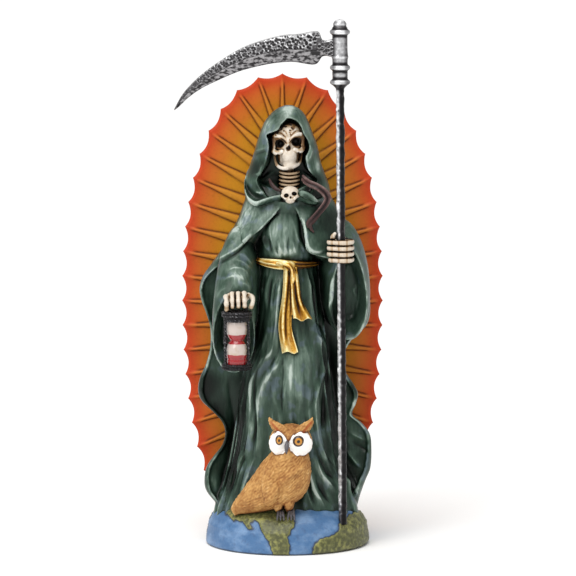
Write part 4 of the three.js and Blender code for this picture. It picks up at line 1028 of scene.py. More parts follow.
def robePaint():
    paint = Paint("robe_paint", reach=13.0, Roughness=0.34, Specular_IOR_Level=0.24)
    names = ("fine", "broad", "glow", "shade", "open")
    fine, broad, glow, shade, free = (paint.field(name) for name in names)
    streak = paint.noise(1.5, 4, (1, 1, 0.22))
    cloud = paint.noise(12)
    # painted shade in hollows and along the shade lines, and paler paint and painted highlights along the
    # glow lines
    tone = 0.02 + 0.52 * paint.between(free, 0.2, 0.95) + 0.4 * glow * (0.5 + streak) - 0.5 * shade
    # paler on broad bulges and darker in broad hollows: painted light and shade
    tone = tone + 0.24 * paint.between(broad, -0.9, 1.3)
    # paler on ridges and edges, partly a dry brush and partly a painted highlight, and painted shade in
    # creases
    tone = tone + 0.22 * paint.between(fine, 0.03, 0.32) - 0.36 * paint.between(0 - fine, 0.03, 0.3)
    tone = tone + 0.24 * (cloud - 0.5) + 0.24 * (streak - 0.5)
    green = paint.ramp(robe["tones"], tone)
    blue = paint.mix(0.35, green, robe["blue"])
    # bluish patches on the paler paint: a painted sheen
    bluishSheen = paint.between(paint.noise(8, 2), 0.54, 0.66) * paint.between(tone, 0.45, 0.75)
    paint.feed("Base Color", paint.mix(bluishSheen, green, blue))
    paint.feed("Roughness", 0.22 + 0.2 * streak)
    paint.bump(streak, 0.14)
    return paint


def makeRobe():
    parts = [gown(), cloak(), *cowl(), sleeve(sleeveLeft, 0.12, 11), sleeve(sleeveRight, 0.2, 12), hood()]
    points, faces = fused(parts, robe["grain"])
    points = relaxed(points, faces, 4)
    wide = normalsOf(relaxed(points, faces, 3, keepSize=False), faces)
    facing = smooth(0.1, 0.5, -wide[:, 1]) * smooth(4, -3, points[:, 1])
    relief = strokes(points, facing, folds, 1.3) - strokes(points, facing, grooves, 1.6)
    relief += layered(points, facing, ledges) + pleats(points, facing)
    points = points + wide * relief[:, None]
    points = relaxed(points, faces, 2)
    points[:, 1] = np.minimum(points[:, 1], backPlane - 0.2)
    makePiece("robe", (stood(points, -0.8), faces), robePaint(), "robed_figure",
              glow=strokes(points, facing, paleBrushAndHighlights), shade=strokes(points, facing, shades),
              broad=reliefOf(points, faces, 60))


makeRobe()


# The lining: a plum ribbon that turns out of the cowl beside the clasp

lining = {"grain": 0.34,
          "plum": [(0, rgb(16, 9, 9)), (0.45, rgb(48, 32, 31)), (0.78, rgb(84, 60, 58)),
                   (1, rgb(150, 126, 120))]}


# Its outer roll, its inner roll, the web between them and the turn of cloth on the other side: the line, its
# radii, and the count of sides, the count of steps, the flatness and the facing of its tube
liningRolls = [
    ([[9, -13.6, 212.6], [12.5, -16.4, 209.6], [17.4, -18.6, 207.6], [22, -18.8, 204.4], [24.2, -18.6, 200.4],
      [22.8, -19.8, 196.4], [18.6, -21, 191.4], [15.4, -22, 187.8], [13.2, -22.4, 185.6], [13.6, -22, 183.2],
      [15.2, -21.4, 181]], [0.7, 1, 1, 1, 1.1, 0.9, 0.8, 0.9, 1.2, 1.1, 0.5], 16, 90, 0.8, (0, 1, 0.2)),
    ([[9.4, -14.4, 208.8], [13, -17.4, 206.9], [17, -19.4, 205.3], [20.2, -20, 202.7], [21.7, -20, 200],
      [20.5, -21, 197.2], [17, -21.8, 192.8], [13.8, -22.6, 189], [11.8, -22.6, 186.4], [12, -22.2, 183.8]],
     [0.6, 0.8, 0.8, 0.9, 0.9, 0.8, 0.7, 0.9, 1.1, 0.6], 16, 80, 0.8, (0, 1, 0.2)),
    ([[9.2, -13.4, 210.8], [12.8, -16.4, 208.3], [17.2, -18.6, 206.4], [21, -19, 203.4], [22.8, -18.8, 200.2],
      [21.6, -20, 196.8], [17.8, -21.2, 192.1], [14.6, -22, 188.4], [12.6, -22.2, 186]],
     [1.6, 1.8, 1.7, 1.6, 1.6, 1.5, 1.4, 1.3, 1], 20, 80, 0.35, (0, 1, 0)),
    ([[-10, -11, 210.4], [-8.6, -14, 207.6], [-6.4, -16, 205.4], [-3.6, -17.2, 204.2]],
     [0.6, 1.1, 1.2, 0.8], 16, 40, 0.7, (0, 1, 0.2)),
]


def makeLining():
    points, faces = fused([tube(*roll) for roll in liningRolls], lining["grain"])
    points = relaxed(points, faces, 2)
    x, y, z = points.T
    seam = [[across, up] for across, depth, up in liningRolls[2][0]]
    # painted shade along the hollow between the two rolls
    dark = 0.06 + strokes(points, np.ones(len(points)), [(seam, 0.45, 0.75)])
    # and painted shade low on the right, on the left fold inside the hood, and at the top under the hood
    dark = dark + 0.22 * smooth(200, 190, z) * (x > 0) + 0.3 * (x < 0) + 0.2 * smooth(211, 213, z)
    paint = aged("lining_paint", lining["plum"], 2.2)
    makePiece("lining", (points, faces), paint, "robed_figure", dirt=dark)


# Paint with painted shade in hollows and creases, and paler ridges and edges: dry brush and painted highlight
def aged(name, tones, grain, rough=0.38, depth=0.08, reach=5.0, **constants):
    paint = Paint(name, reach, Roughness=rough, Specular_IOR_Level=0.28, **constants)
    speck = paint.noise(grain, 4)
    fine = paint.field("fine")
    # painted shade in hollows, painted highlights on ridges and edges, and painted shade in creases
    tone = 0.1 + 0.68 * paint.between(paint.field("open"), 0.1, 0.9) + 0.3 * (speck - 0.5)
    tone = tone + 0.28 * paint.between(fine, 0, 0.14) - 0.4 * paint.between(0 - fine, 0, 0.14)
    # darker for stains, the piece's own darker paint and painted shade, as each piece sets
    tone = tone - paint.field("dirt") * (0.7 + 0.6 * speck)
    paint.feed("Base Color", paint.ramp(tones, tone))
    paint.feed("Roughness", rough - 0.08 + 0.2 * speck)
    paint.bump(speck, depth)
    return paint


makeLining()


# The sash: a gilded band, its knot and two tails

sash = {"grain": 0.33,
        "gold": [(0, rgb(28, 15, 6)), (0.32, rgb(84, 50, 16)), (0.5, rgb(158, 108, 34)),
                 (0.69, rgb(218, 168, 68)), (0.86, rgb(255, 241, 180))]}
# Creases painted dark, a painted shade, as for the robe's grooves
creases = [([[1.2, 160], [0.4, 148], [-0.8, 134], [-0.4, 114]], 0.55, 0.8),
           ([[4.4, 156], [5, 146], [6.4, 138], [7.4, 132]], 0.5, 0.7),
           ([[2.6, 158], [2.2, 146], [2.2, 132], [3.4, 116]], 0.4, 0.6),
           ([[-16, 163.6], [-8, 163.2], [-3, 162.6]], 0.35, 0.5),
           ([[-4, 161.2], [-1, 161.6], [1.4, 159.4], [1.6, 154]], 0.6, 0.6),
           ([[6.6, 150], [8.6, 142], [11, 134]], 0.4, 0.6),
           ([[-2, 164], [1.6, 163], [3.8, 159.4], [4, 154]], 0.5, 0.5),
           ([[-1, 162.6], [1.4, 160.8], [2.2, 155]], 0.55, 0.5),
           ([[-3, 140], [-3.6, 128], [-2.4, 116]], 0.35, 0.6),
           ([[-18, 162], [-8, 161], [-3, 160.6]], 0.3, 0.5)]


def ribbon(stations, waves, phase, fall):  # fall is how much lower its end hangs in the creases
    rows = 70
    x, z, across, proud = columnsOf(stations, rows)
    share = np.linspace(-1, 1, 34)[None]
    down = np.linspace(0, 1, rows)[:, None]
    wave = np.cos(math.pi * (waves * share + phase))
    crease = -1.3 * np.sign(wave) * np.abs(wave) ** 0.8 * (0.45 + 0.65 * down)
    edge = 0.9 * np.abs(share) ** 6

    def side(depth):
        height = z - fall * (1 - wave) * down**6
        return np.stack([x + across / 2 * share, depth - follow(gownFront, z) - proud, height], -1)
    return skin(np.concatenate([side(crease + edge - 1.3), side(1.6 + 0 * share)[:, ::-1]], 1))


def makeSash():
    turn = np.linspace(-100, 100, 120)[:, None] * radian
    around = turns(32)
    halves = [[-100, 1.3], [-62, 1.6], [-40, 2.4], [-14, 2.9], [10, 2.5], [45, 1.7], [100, 1.3]]
    lane = np.sin(around)
    out = 1.5 * np.cos(around) * (1 + 0.34 * np.cos(2 * math.pi * lane + 1.8 * turn + 0.6))
    rise = 163.2 - 1.2 * np.cos(turn) - 0.8 * turn + follow(halves, turn / radian) * lane
    band = skin(np.stack([(18.2 + out) * np.sin(turn), -(17 + out) * np.cos(turn), rise], -1))
    loop = [[-5.6, -18.6, 163], [-1.6, -20.6, 163.4], [1.6, -21.8, 161.6], [3.2, -21.6, 158.4],
            [3.4, -21, 154.6], [2.6, -20.8, 151]]
    fold = tube(loop, [1, 1.6, 1.7, 1.6, 1.3, 0.8], 20, 50, 0.7, (0, 1, 0))
    knot = ball((1.6, -18.8, 161.6), (3.4, 2.4, 2.8))
    # Each tail: middle across, height, width, and how proud of the gown it hangs
    longTail = ribbon([(0.6, 162, 4.8, 2.4), (0.4, 146, 6, 3.2), (-0.9, 133, 7, 3.4), (-0.9, 125, 7.8, 3.4),
                       (1.8, 113.4, 9.2, 2.8)], 1.3, 0.42, 0.8)
    shortTail = ribbon([(3.8, 161, 4.2, 3), (4.6, 150, 5.2, 3.8), (5.8, 141, 6.8, 4.2), (9, 132.4, 11, 4)],
                       1.45, 1.15, 1)
    points, faces = fused([band, fold, knot, longTail, shortTail], sash["grain"])
    points = relaxed(points, faces, 2)
    x, y, z = points.T
    # painted shade in the creases
    paintedLight = strokes(points, np.ones(len(points)), creases)
    # painted shade on the band's right half, which turns away from the light, and lower on the right
    paintedLight += 0.5 * smooth(3, 7, x) * smooth(156, 160, z) + 0.16 * smooth(2, 8, x) * smooth(158, 150, z)
    paint = aged("sash_paint", sash["gold"], 1.6, 0.3, 0.06, Metallic=0.3)
    makePiece("sash", (points, faces), paint, "robed_figure", dirt=paintedLight)


makeSash()


# Bones: the skull and neck, the small skull at the throat, and the hands

bone = {"tones": [(0, rgb(14, 9, 7)), (0.2, rgb(60, 38, 24)), (0.4, rgb(132, 98, 62)),
                  (0.58, rgb(188, 165, 136)), (0.78, rgb(214, 203, 188)), (1, rgb(246, 240, 232))]}
skullMiddle = 0.7
# Dark lines of the brow: across and up, strength and half width
furrows = [([[-6.6, 236.6], [-3.4, 236.4], [-1.2, 234.6], [0, 232.2]], 0.5, 0.45),
           ([[8, 237.6], [5, 237.4], [2.6, 235.4], [1.4, 232.8]], 0.5, 0.45),
           ([[-4, 238.6], [-1, 237.4], [0.6, 234]], 0.4, 0.4),
           ([[5, 239.2], [2.6, 238], [1.2, 235]], 0.4, 0.4),
           ([[-5, 234.4], [-3, 233.4], [-1, 231.8], [0.6, 229.6]], 0.95, 0.6),
           ([[6.6, 235], [4.4, 234], [2.4, 232.4], [0.8, 229.6]], 0.95, 0.6)]


# Dark patches, for stains and for painted shade
def blots(points, spots):  # stains seen from the front: across, up, half width, half height, strength
    total = np.zeros(len(points))
    for across, up, wide, high, strength in spots:
        gap = np.hypot((points[:, 0] - across) / wide, (points[:, 2] - up) / high)
        total = np.maximum(total, strength * smooth(1.15, 0.7, gap))
    return total


# Pits of the forehead, and the bands of the neck: across, up and size, and height and size
browPits = [(-5.4, 236.9, 0.9), (-3.2, 238.9, 0.8), (-0.8, 240.2, 0.9), (1.8, 238, 0.6), (3.4, 239.4, 1.3),
            (2.2, 241.2, 1), (-2.2, 240.8, 0.5), (-6.4, 235.2, 0.6)]
neckBands = [(213.6, 0.8), (211.5, 0.8), (209.2, 0.85), (207, 0.8), (204.6, 1), (202, 1)]
# Painted shade in sockets, nose and cheeks, and stains and painted shade on the bone: across, up, half sizes,
# strength
hollowShades = [(-4, 230.4, 3, 2.8, 0.9), (5.4, 231.5, 3.2, 3, 0.9), (1.1, 228.1, 1.7, 2, 0.9),
                (-5.1, 221.8, 1.3, 3.6, 0.5), (6.9, 222.8, 1.3, 3.2, 0.45)]
boneStainsAndShade = [(0.4, 243.4, 7, 3, 0.6), (-5.6, 233, 3.6, 1.2, 0.3), (1.1, 228, 1.2, 1.5, 0.7),
              (6.8, 233.6, 3, 1.2, 0.34), (-3, 240.5, 2.6, 1.3, 0.5), (-6.3, 220.6, 1.2, 4, 0.36),
              (8.2, 221.6, 1.2, 4, 0.36), (4.4, 241, 2, 1, 0.35), (-6.6, 237.4, 1.6, 1.2, 0.4),
              (-8.6, 232, 1.8, 6, 0.5), (9.6, 232, 1.6, 6, 0.5), (-5.6, 226.4, 1.6, 0.9, 0.25),
              (7.6, 227.2, 1.6, 0.9, 0.25)]


def makeSkull(paint):
    clay = Clay((-12, -18, 196), (13, 11, 245), 0.27)
    cranium, craniumSize = np.array([0.6, -0.4, 233.8]), np.array([9.4, 10.8, 9.6])
    clay.lump(cranium, craniumSize, 0.1)
    clay.lump((0.7, -5, 228), (7.4, 6.4, 5.2), 1.6)
    clay.lump((1.4, -10, 223.6), (4.3, 5, 4.9), 1.2)
    clay.lump((1.6, -9, 218.4), (4, 4.9, 2.7), 1.4)
    clay.lump((1, -4, 222.4), (6.4, 4.6, 6), 1)
    clay.limb([(0.6, -11.4, 233), (0.8, -13, 230.8), (0.9, -13.4, 229.9)], [1.5, 1.1, 0.8], 0.7)
    for side, lift in ((-1, -0.2), (1, 0.9)):
        def at(across, depth, height):
            return (skullMiddle + side * across, depth, height + lift)
        clay.lump(at(9.8, -6.5, 232.3), (2.2, 3.8, 3.2), 1, cut=True)  # temple
        clay.limb([at(8.9, -3, 228.8), at(8.7, -7.6, 227.2), at(6.6, -11, 225.4), at(3.6, -12.3, 226.4)],
                  [1, 1.2, 1.4, 1.1], 0.6)  # cheekbone
        clay.limb([at(8.3, -6.6, 232.6), at(8.2, -8.2, 228.6)], [1.1, 1], 0.6)  # outer rim of the socket
        socket = (3 + 0.2 * side, 6.6, 2.5 + 0.25 * side)
        clay.lump(at(4.5, -13, 230.6), socket, 0.35, cut=True, tilt=-24 * side)
        clay.limb([at(8.8, -5.4, 232.6), at(7.5, -9.2, 234.9), at(4.4, -11.7, 234.6), at(1, -12.8, 231.8)],
                  [0.8, 0.95, 1, 0.8], 2.2)  # brow
        clay.lump(at(5.9, -11, 222.4), (1, 4, 2.6), 0.8, cut=True)  # hollow of the cheek
        clay.limb([at(7.6, -2, 226), at(7.5, -5.2, 222), at(6.2, -8.8, 218.2), at(3.2, -12.2, 216.8),
                   at(0.4, -13, 217)], [0.8, 0.7, 0.8, 1, 1.1], 1)  # jaw
        clay.lump(at(0.72, -14.4, 228), (0.95, 3.6, 1.7), 0.2, cut=True, tilt=-22 * side)
        for gap in range(4):
            across = gap + 0.1
            depth = -15.1 + 0.2 * across**2
            tooth = [(1.5 + side * across, depth, height) for height in (222.2, 219)]
            clay.limb(tooth, [0.22, 0.22], 0.3, cut=True)
    for side in (-1, 1):  # the frown
        frown = [(0.6 + 2.4 * side, -12.4, 236.6), (0.6 + 0.8 * side, -13.9, 232.8)]
        clay.limb(frown, [0.25, 0.4], 0.3, cut=True)
    random = np.random.default_rng(11)
    small = [(*random.uniform((-6, 234), (6, 242)), random.uniform(0.25, 0.55)) for _ in range(22)]
    for across, height, size in browPits + small:
        spot = (np.array([across, height]) - cranium[[0, 2]]) / craniumSize[[0, 2]]
        depth = cranium[1] - craniumSize[1] * math.sqrt(max(1 - spot @ spot, 0))
        clay.lump((across, depth, height), (size, 0.6, size), 0.3, cut=True)
    clay.limb([(1, -4.5, 222), (1.4, -5.5, 198)], [2.6, 3], 0.4)
    for height, size in neckBands:
        clay.limb([(-3.8, -6.4, height + 0.6), (-2.2, -9.8, height + 0.1), (1.4, -11.2, height - 0.3),
                   (5, -9.8, height + 0.1), (6.6, -6.4, height + 0.6)], [size] * 4, 0.2)
    points, faces = clay.skin()
    points = relaxed(points, faces, 1)
    x, y, z = points.T
    pitStains = [(across, up, 1.1 * size, 0.9 * size, 0.45) for across, up, size in browPits]
    rise = np.min([np.abs(z - height) for height, size in neckBands], axis=0)
    # painted shade at the top under the hood, in the brow's furrows, under the jaw and between the neck's
    # bands
    dark = np.max([blots(points, hollowShades) * smooth(-11.6, -10, y), blots(points, pitStains + boneStainsAndShade),
                   0.5 * smooth(238, 242.5, z), strokes(points, smooth(-4, -8, y), furrows, 1.5),
                   smooth(215.6, 214.4, z) * (0.3 + 0.45 * smooth(0.5, 1.1, rise))], axis=0)
    makePiece("skull", (points, faces), paint, "robed_figure", dirt=dark)


def makeClasp(paint):  # the small skull at the throat
    clay = Clay((-5, -25, 195), (9, -13, 210), 0.22)
    clay.lump((1.8, -19.6, 203.4), (4.9, 3.8, 3.7), 0.1)
    clay.lump((1.8, -20.8, 199.2), (2.7, 2.6, 1.9), 0.6)
    for side in (-1, 1):
        clay.limb([(1.8 + 4.4 * side, -20, 201.8), (1.8 + 2.6 * side, -22.4, 200.4)], [1, 0.9], 0.5)
        socket = (1.9 + 2.3 * side, -23.2, 202.4 + 0.5 * side)
        clay.lump(socket, (1.6, 2.6, 1.35), 0.2, cut=True, tilt=-18 * side)
        clay.lump((1.8 + 4.2 * side, -21.6, 198.7), (1.3, 2.8, 1.6), 0.3, cut=True)
    clay.lump((2.1, -23.6, 200.9), (0.7, 1.8, 0.9), 0.2, cut=True)
    clay.limb([(-0.4, -22.6, 198.9), (1.8, -23.4, 198.8), (4, -22.6, 198.9)], [0.3, 0.3], 0.2, cut=True)
    for tooth in range(5):
        across = -0.2 + tooth
        clay.limb([(across, -23.3, 199.9), (across, -23.3, 197.9)], [0.2, 0.2], 0.15, cut=True)
    points, faces = clay.skin()
    # painted shade in the sockets, the nose and the hollows of the cheeks
    dark = blots(points, [(-0.4, 202, 1.4, 1.1, 0.9), (4.3, 203, 1.4, 1.1, 0.9), (2.1, 200.9, 0.7, 0.8, 0.8)])
    dark = dark * smooth(-22.8, -21.8, points[:, 1])
    dark = np.maximum(dark, 0.04 + blots(points, [(-2.3, 198.6, 1.4, 1.8, 0.5), (5.9, 198.6, 1.4, 1.8, 0.5)]))
    makePiece("clasp", (relaxed(points, faces, 2), faces), paint, "robed_figure", dirt=dark)


bonePaint = aged("skull_paint", bone["tones"], 1.7, 0.42)
makeSkull(bonePaint)
makeClasp(bonePaint)

staff = {"across": 30.6, "depth": -29.5, "lean": -0.0074, "pivot": 164, "radius": 2.3, "handHeight": 171.2}


def staffLine(height):
    return staff["across"] + staff["lean"] * (height - staff["pivot"])


fingerJoints = [1.25, 1.7, 1.2, 1.15, 1.6, 1.2, 1.15, 1.5, 1.15, 1.3]  # a finger's bones, thick at each joint
fingerGap = 3.35  # from one finger to the next


# Painted shade between the fingers
def fingerGapShade(place, first, reach):  # 1 between two fingers, less where reach is less
    lanes = np.abs((place - first + fingerGap / 2) % fingerGap - fingerGap / 2)
    return smooth(0.95, 1.5, lanes) * reach


def makeStaffHand(paint):
    middle = staffLine(staff["handHeight"])
    clay = Clay((middle - 11, -37.5, 159), (middle + 11, -6, 184), 0.27)

    def at(across, depth, rise):
        return (middle + across, staff["depth"] + depth, staff["handHeight"] + rise)
    for finger in range(4):
        rise = 5 - fingerGap * finger
        short = 0.88 if finger == 3 else 1
        clay.limb([at(3.6, 6.4, rise), at(6, 1.6, rise + 0.1), at(5.6, -3, rise), at(1.6, -4.7, rise - 0.1),
                   at(-3, -4.4, rise), at(-6.2 * short, -2.4, rise + 0.1), at(-6.4 * short, 1.4, rise),
                   at(-3.6, 4.6, rise)], fingerJoints, 0.15, steps=26)
    clay.lump(at(1.6, 6.6, 0), (5.4, 3.2, 7.4), 0.6)
    thumb = [at(-2.6, 4.6, 3.4), at(-4.6, 0.8, 6.4), at(-4.6, -1.4, 8.4), at(-3.6, -2, 10)]
    clay.limb(thumb, [1.5, 1.2, 1.4, 0.9], 0.3)
    clay.limb([at(2.5, 8, -1), at(5, 22, -6)], [3.6, 3.4], 0.4)
    points, faces = clay.skin()
    rise = points[:, 2] - staff["handHeight"]
    # painted shade between the fingers, and dark stains at the knuckle joints
    gaps = 0.1 + 0.7 * fingerGapShade(rise, 5, smooth(9, 7, np.abs(rise)))
    for joint in (-5.2, -1.4, 3.2):
        gaps += 0.22 * bell(points[:, 0] - middle - joint, 0.5)
    makePiece("staffHand", (relaxed(points, faces, 2), faces), paint, "robed_figure", dirt=gaps)


def makeGlassHand(paint):
    clay = Clay((-40, -45.5, 137), (-14, -14, 156), 0.28)

    def at(across, depth, rise):
        return (-28.2 + across, -37.5 + depth, 149 + rise)
    for finger in range(4):
        across = -6 + fingerGap * finger
        top = -1.5 if finger == 0 else -0.2 + 0.2 * finger
        line = [at(across * 0.8, 6.5, top - 3.4), at(across, 1, top - 1.2), at(across + 0.1, -3.2, top - 2.4),
                at(across + 0.3, -4.9, top - 5), at(across + 0.4, -4.9, top - 8)]
        clay.limb(line, fingerJoints, 0.1, steps=22)
    clay.lump(at(0, 6.2, -4), (7, 4.4, 3.4), 0.6)
    thumb = [at(6.4, 5, -2.4), at(8.8, 0.2, -3.4), at(9, -2.2, -5.6), at(8, -2.6, -8.4)]
    clay.limb(thumb, [1.4, 1.5, 1.15, 1.3], 0.3)
    clay.limb([at(-0.4, 8, -5), at(2, 21, 1)], [3.3, 3.6], 0.4)
    points, faces = clay.skin()
    across = points[:, 0] + 28.2
    # painted shade between the fingers, and a brown tint at the finger ends
    gaps = 0.06 + 0.8 * fingerGapShade(across, -6, smooth(4, 2, np.abs(across + 0.8)))
    gaps += 0.25 * smooth(142, 140.6, points[:, 2])
    makePiece("glassHand", (relaxed(points, faces, 2), faces), paint, "robed_figure", dirt=gaps)


handPaint = aged("hand_paint", bone["tones"], 1.4, 0.42, reach=3.5)
makeStaffHand(handPaint)
makeGlassHand(handPaint)


# The hourglass

hourglass = {"middle": (-28.2, -37.5), "top": 138, "height": 33, "plate": 8.6, "thick": 3.2, "neck": 3.5,
             "dark": [(0, rgb(6, 5, 6)), (0.6, rgb(16, 14, 16)), (0.86, rgb(40, 38, 42)),
                      (1, rgb(190, 190, 194))],
             "red": rgb(160, 26, 32), "white": rgb(198, 184, 176), "sand": rgb(176, 150, 110)}


def makeHourglass():
    x, y = hourglass["middle"]
    top, low = hourglass["top"], hourglass["top"] - hourglass["height"]
    reach, thick = hourglass["plate"], hourglass["thick"]

    def plate(z):
        return turned([[2, z], [reach - 0.9, z], [reach, z + 0.5], [reach, z + 1.1], [reach - 0.5, z + 1.5],
                       [reach - 0.5, z + 1.8], [reach, z + 2.2], [reach - 0.1, z + thick - 0.5],
                       [reach - 0.8, z + thick], [2, z + thick]], (x, y), 72)
    ferrule = [[2, top - 5.8], [6.8, top - 5.8], [7.4, top - 5], [7.3, top - 3], [2, top - 3]]
    forms = [plate(low), plate(top - thick), turned(ferrule, (x, y), 72)]
    middle = (top + low) / 2
    rise = np.linspace(low + 1, top - 1, 60)
    swell = 0.75 + 0.45 * bell(rise - middle, 1.3) + 0.12 * np.sin(rise * 2.1)
    swell += 0.4 * bell(rise - low - thick, 1) + 0.4 * bell(rise - top + thick, 1)
    for turn in (24, 156, 204, 336):  # the four posts
        foot = (x + (reach - 1.6) * math.cos(turn * radian), y + (reach - 1.6) * math.sin(turn * radian))
        forms.append(turned(np.stack([swell, rise], 1), foot, 20))
    half = reach * 0.63
    hoop = [[-1, -2], [-0.95, 1.4], [-0.7, 4], [0, 5.2], [0.7, 4], [0.95, 1.4], [1, -2]]
    forms.append(tube([[x + a * half, y, top + b] for a, b in hoop], [1.2, 1.3, 1.2], 18, 60))
    points, faces = fused(forms, 0.33)
    points = relaxed(points, faces, 1)
    across, deep, up = points.T
    dents = 0.06 * np.random.default_rng(3).normal(size=len(points))
    dents += 0.16 * np.sin(2.9 * across + 2.1 * up) * np.sin(2.6 * deep - 1.7 * up)
    points = points + normalsOf(points, faces) * dents[:, None]
    paint = aged("frame_paint", hourglass["dark"], 0.9, 0.35, 0.1, Metallic=0.2)
    # the frame's own black paint, and darker on its lower plate
    dirt = 0.17 + 0.12 * smooth(108.6, 107, points[:, 2])
    makePiece("hourglassFrame", (points, faces), paint, "hourglass", dirt=dirt)
    share = np.linspace(-1, 1, 72)
    swell = np.clip(np.sin(math.pi * np.abs(share)), 0, 1) ** 0.62
    radius = hourglass["neck"] + 2.5 * np.maximum(swell, smooth(0.5, 0.85, np.abs(share)) * 0.84)
    rise = middle + share * (hourglass["height"] / 2 - thick + 0.3)
    bulbs = turned(np.stack([radius, rise], 1), (x, y), 64)
    paint = Paint("bulb_paint", Roughness=0.18, Coat_Weight=0.6)
    height = paint.field("height") + 0.9 * (paint.noise(4, 2) - 0.5)
    sandy = paint.between(paint.noise(5, 2), 0.5, 0.7) * 0.5
    colour = paint.mix(sandy, hourglass["white"], hourglass["sand"])
    upper = paint.between(height, middle - 2.2, middle - 1.6)
    upper = upper * (1 - paint.between(height, middle + 3.2, middle + 3.7))
    lower = 1 - paint.between(height, low + 8.4, low + 8.9)
    red = paint.mix(paint.between(paint.noise(3), 0.45, 0.7) * 0.5, hourglass["red"], rgb(120, 14, 22))
    paint.feed("Base Color", paint.mix(upper + lower, colour, red))
    paint.feed("Roughness", 0.16 + 0.15 * paint.noise(3))
    makePiece("hourglassBulbs", bulbs, paint, "hourglass", height=bulbs[0][:, 2])


makeHourglass()


# The scythe: a knotty staff with its collar, and a hammered blade with a ground edge

scythe = {"top": 302, "reach": 93.2, "thick": 3.4, "socket": 4.3, "ring": 5.7, "root": 0.9425,
          "iron": [(0, rgb(7, 6, 8)), (0.36, rgb(32, 30, 32)), (0.58, rgb(86, 84, 86)),
                   (0.78, rgb(158, 158, 160)), (1, rgb(240, 241, 243))],
          "darkIron": rgb(36, 34, 36), "paleIron": rgb(160, 158, 160), "edge": rgb(44, 42, 44)}
staffFoot = float(globeHeight(math.hypot(staff["across"], staff["depth"]))) - 2
staffLength = scythe["top"] - staffFoot
# The blade's upper and lower edges, as shares of its reach: how far out from the staff, and up from its root
bladeUpper = [[0.02, 0.07], [0.06, 0.051], [0.105, 0.051], [0.136, 0.101], [0.244, 0.086], [0.36, 0.075],
              [0.513, 0.033], [0.62, -0.014], [0.743, -0.091], [0.835, -0.16], [0.9, -0.222],
              [0.951, -0.283], [1, -0.37]]
bladeLower = [[0.02, -0.07], [0.06, -0.051], [0.105, -0.051], [0.152, -0.098], [0.282, -0.083],
              [0.398, -0.091], [0.513, -0.114], [0.62, -0.145], [0.743, -0.198], [0.835, -0.244],
              [0.912, -0.298], [0.966, -0.35], [0.996, -0.374]]


def makeStaff(random):
    foot, top, length = staffFoot, scythe["top"], staffLength
    neck = foot + 0.87 * length
    rise = np.concatenate([np.arange(foot, neck, 0.7), np.arange(neck, top - 0.2, 0.3)])
    share = (rise - foot) / length
    radius = staff["radius"] + (scythe["socket"] - staff["radius"]) * smooth(0.862, 0.872, share)
    rings = [foot + length * place for place in (0.876, 0.9045, 0.974)]
    for ring in rings:
        radius += (scythe["ring"] - scythe["socket"]) * np.exp(-(np.abs(rise - ring) / 1.35) ** 3.5)
    radius += 0.35 * bell(rise - foot - length * 0.925, 1)
    finial = [[0, 9], [296, 9], [297, 4.3], [299.2, 3.7], [301, 2.5], [301.8, 1]]
    radius = np.minimum(radius, follow(finial, rise))
    turn = turns(48)[None]
    rough = np.zeros((len(rise), 48))
    plain = smooth(0.87, 0.86, share)
    for _ in range(700):  # knots and dents
        height, way = random.uniform(foot + 4, top - 8), random.uniform(0, 2 * math.pi)
        size, sign = random.uniform(0.5, 1.5), random.choice([-1, 1])
        near = np.abs(rise - height) < 3 * size
        around = np.angle(np.exp(1j * (turn - way))) * staff["radius"]
        strength = 0.1 * plain[near] + 0.09
        blow = bell(rise[near, None] - height, 1.2 * size) * bell(around, size)
        rough[near] += sign * strength[:, None] * blow
    out = radius[:, None] + rough
    out = np.where(share[:, None] < 0.02, np.minimum(out, staff["radius"]), out)
    rise = rise[:, None]
    rod = [staffLine(rise) + out * np.sin(turn), staff["depth"] - out * np.cos(turn), rise + 0 * turn]
    points, faces = skin(np.stack(rod, -1))
    x, y, z = stood(points, 0.1).T
    right = (x - staffLine(z)) / staff["radius"]
    # painted light: paler on the staff's left and darker on its right, as the light falls; darker towards the
    # foot
    paintedLight = 0.05 + (0.72 * smooth(-0.6, 0.25, right) - 0.14) * smooth(268, 262, z) + 0.3 * smooth(36, 18, z)
    gap = np.min([np.abs(z - ring) for ring in rings], axis=0)
    # painted shade beside the collar's rings and at its sides
    collar = 0.42 * smooth(1.1, 1.8, gap) * smooth(3.6, 2.2, gap) + 0.3 * smooth(0.7, 1.8, np.abs(right))
    paintedLight = paintedLight + (collar - 0.02) * smooth(262, 266, z)
    paint = aged("iron_paint", scythe["iron"], 1.3, 0.32, 0.15, Metallic=0.45)
    makePiece("staff", (points, faces), paint, "scythe", dirt=paintedLight)


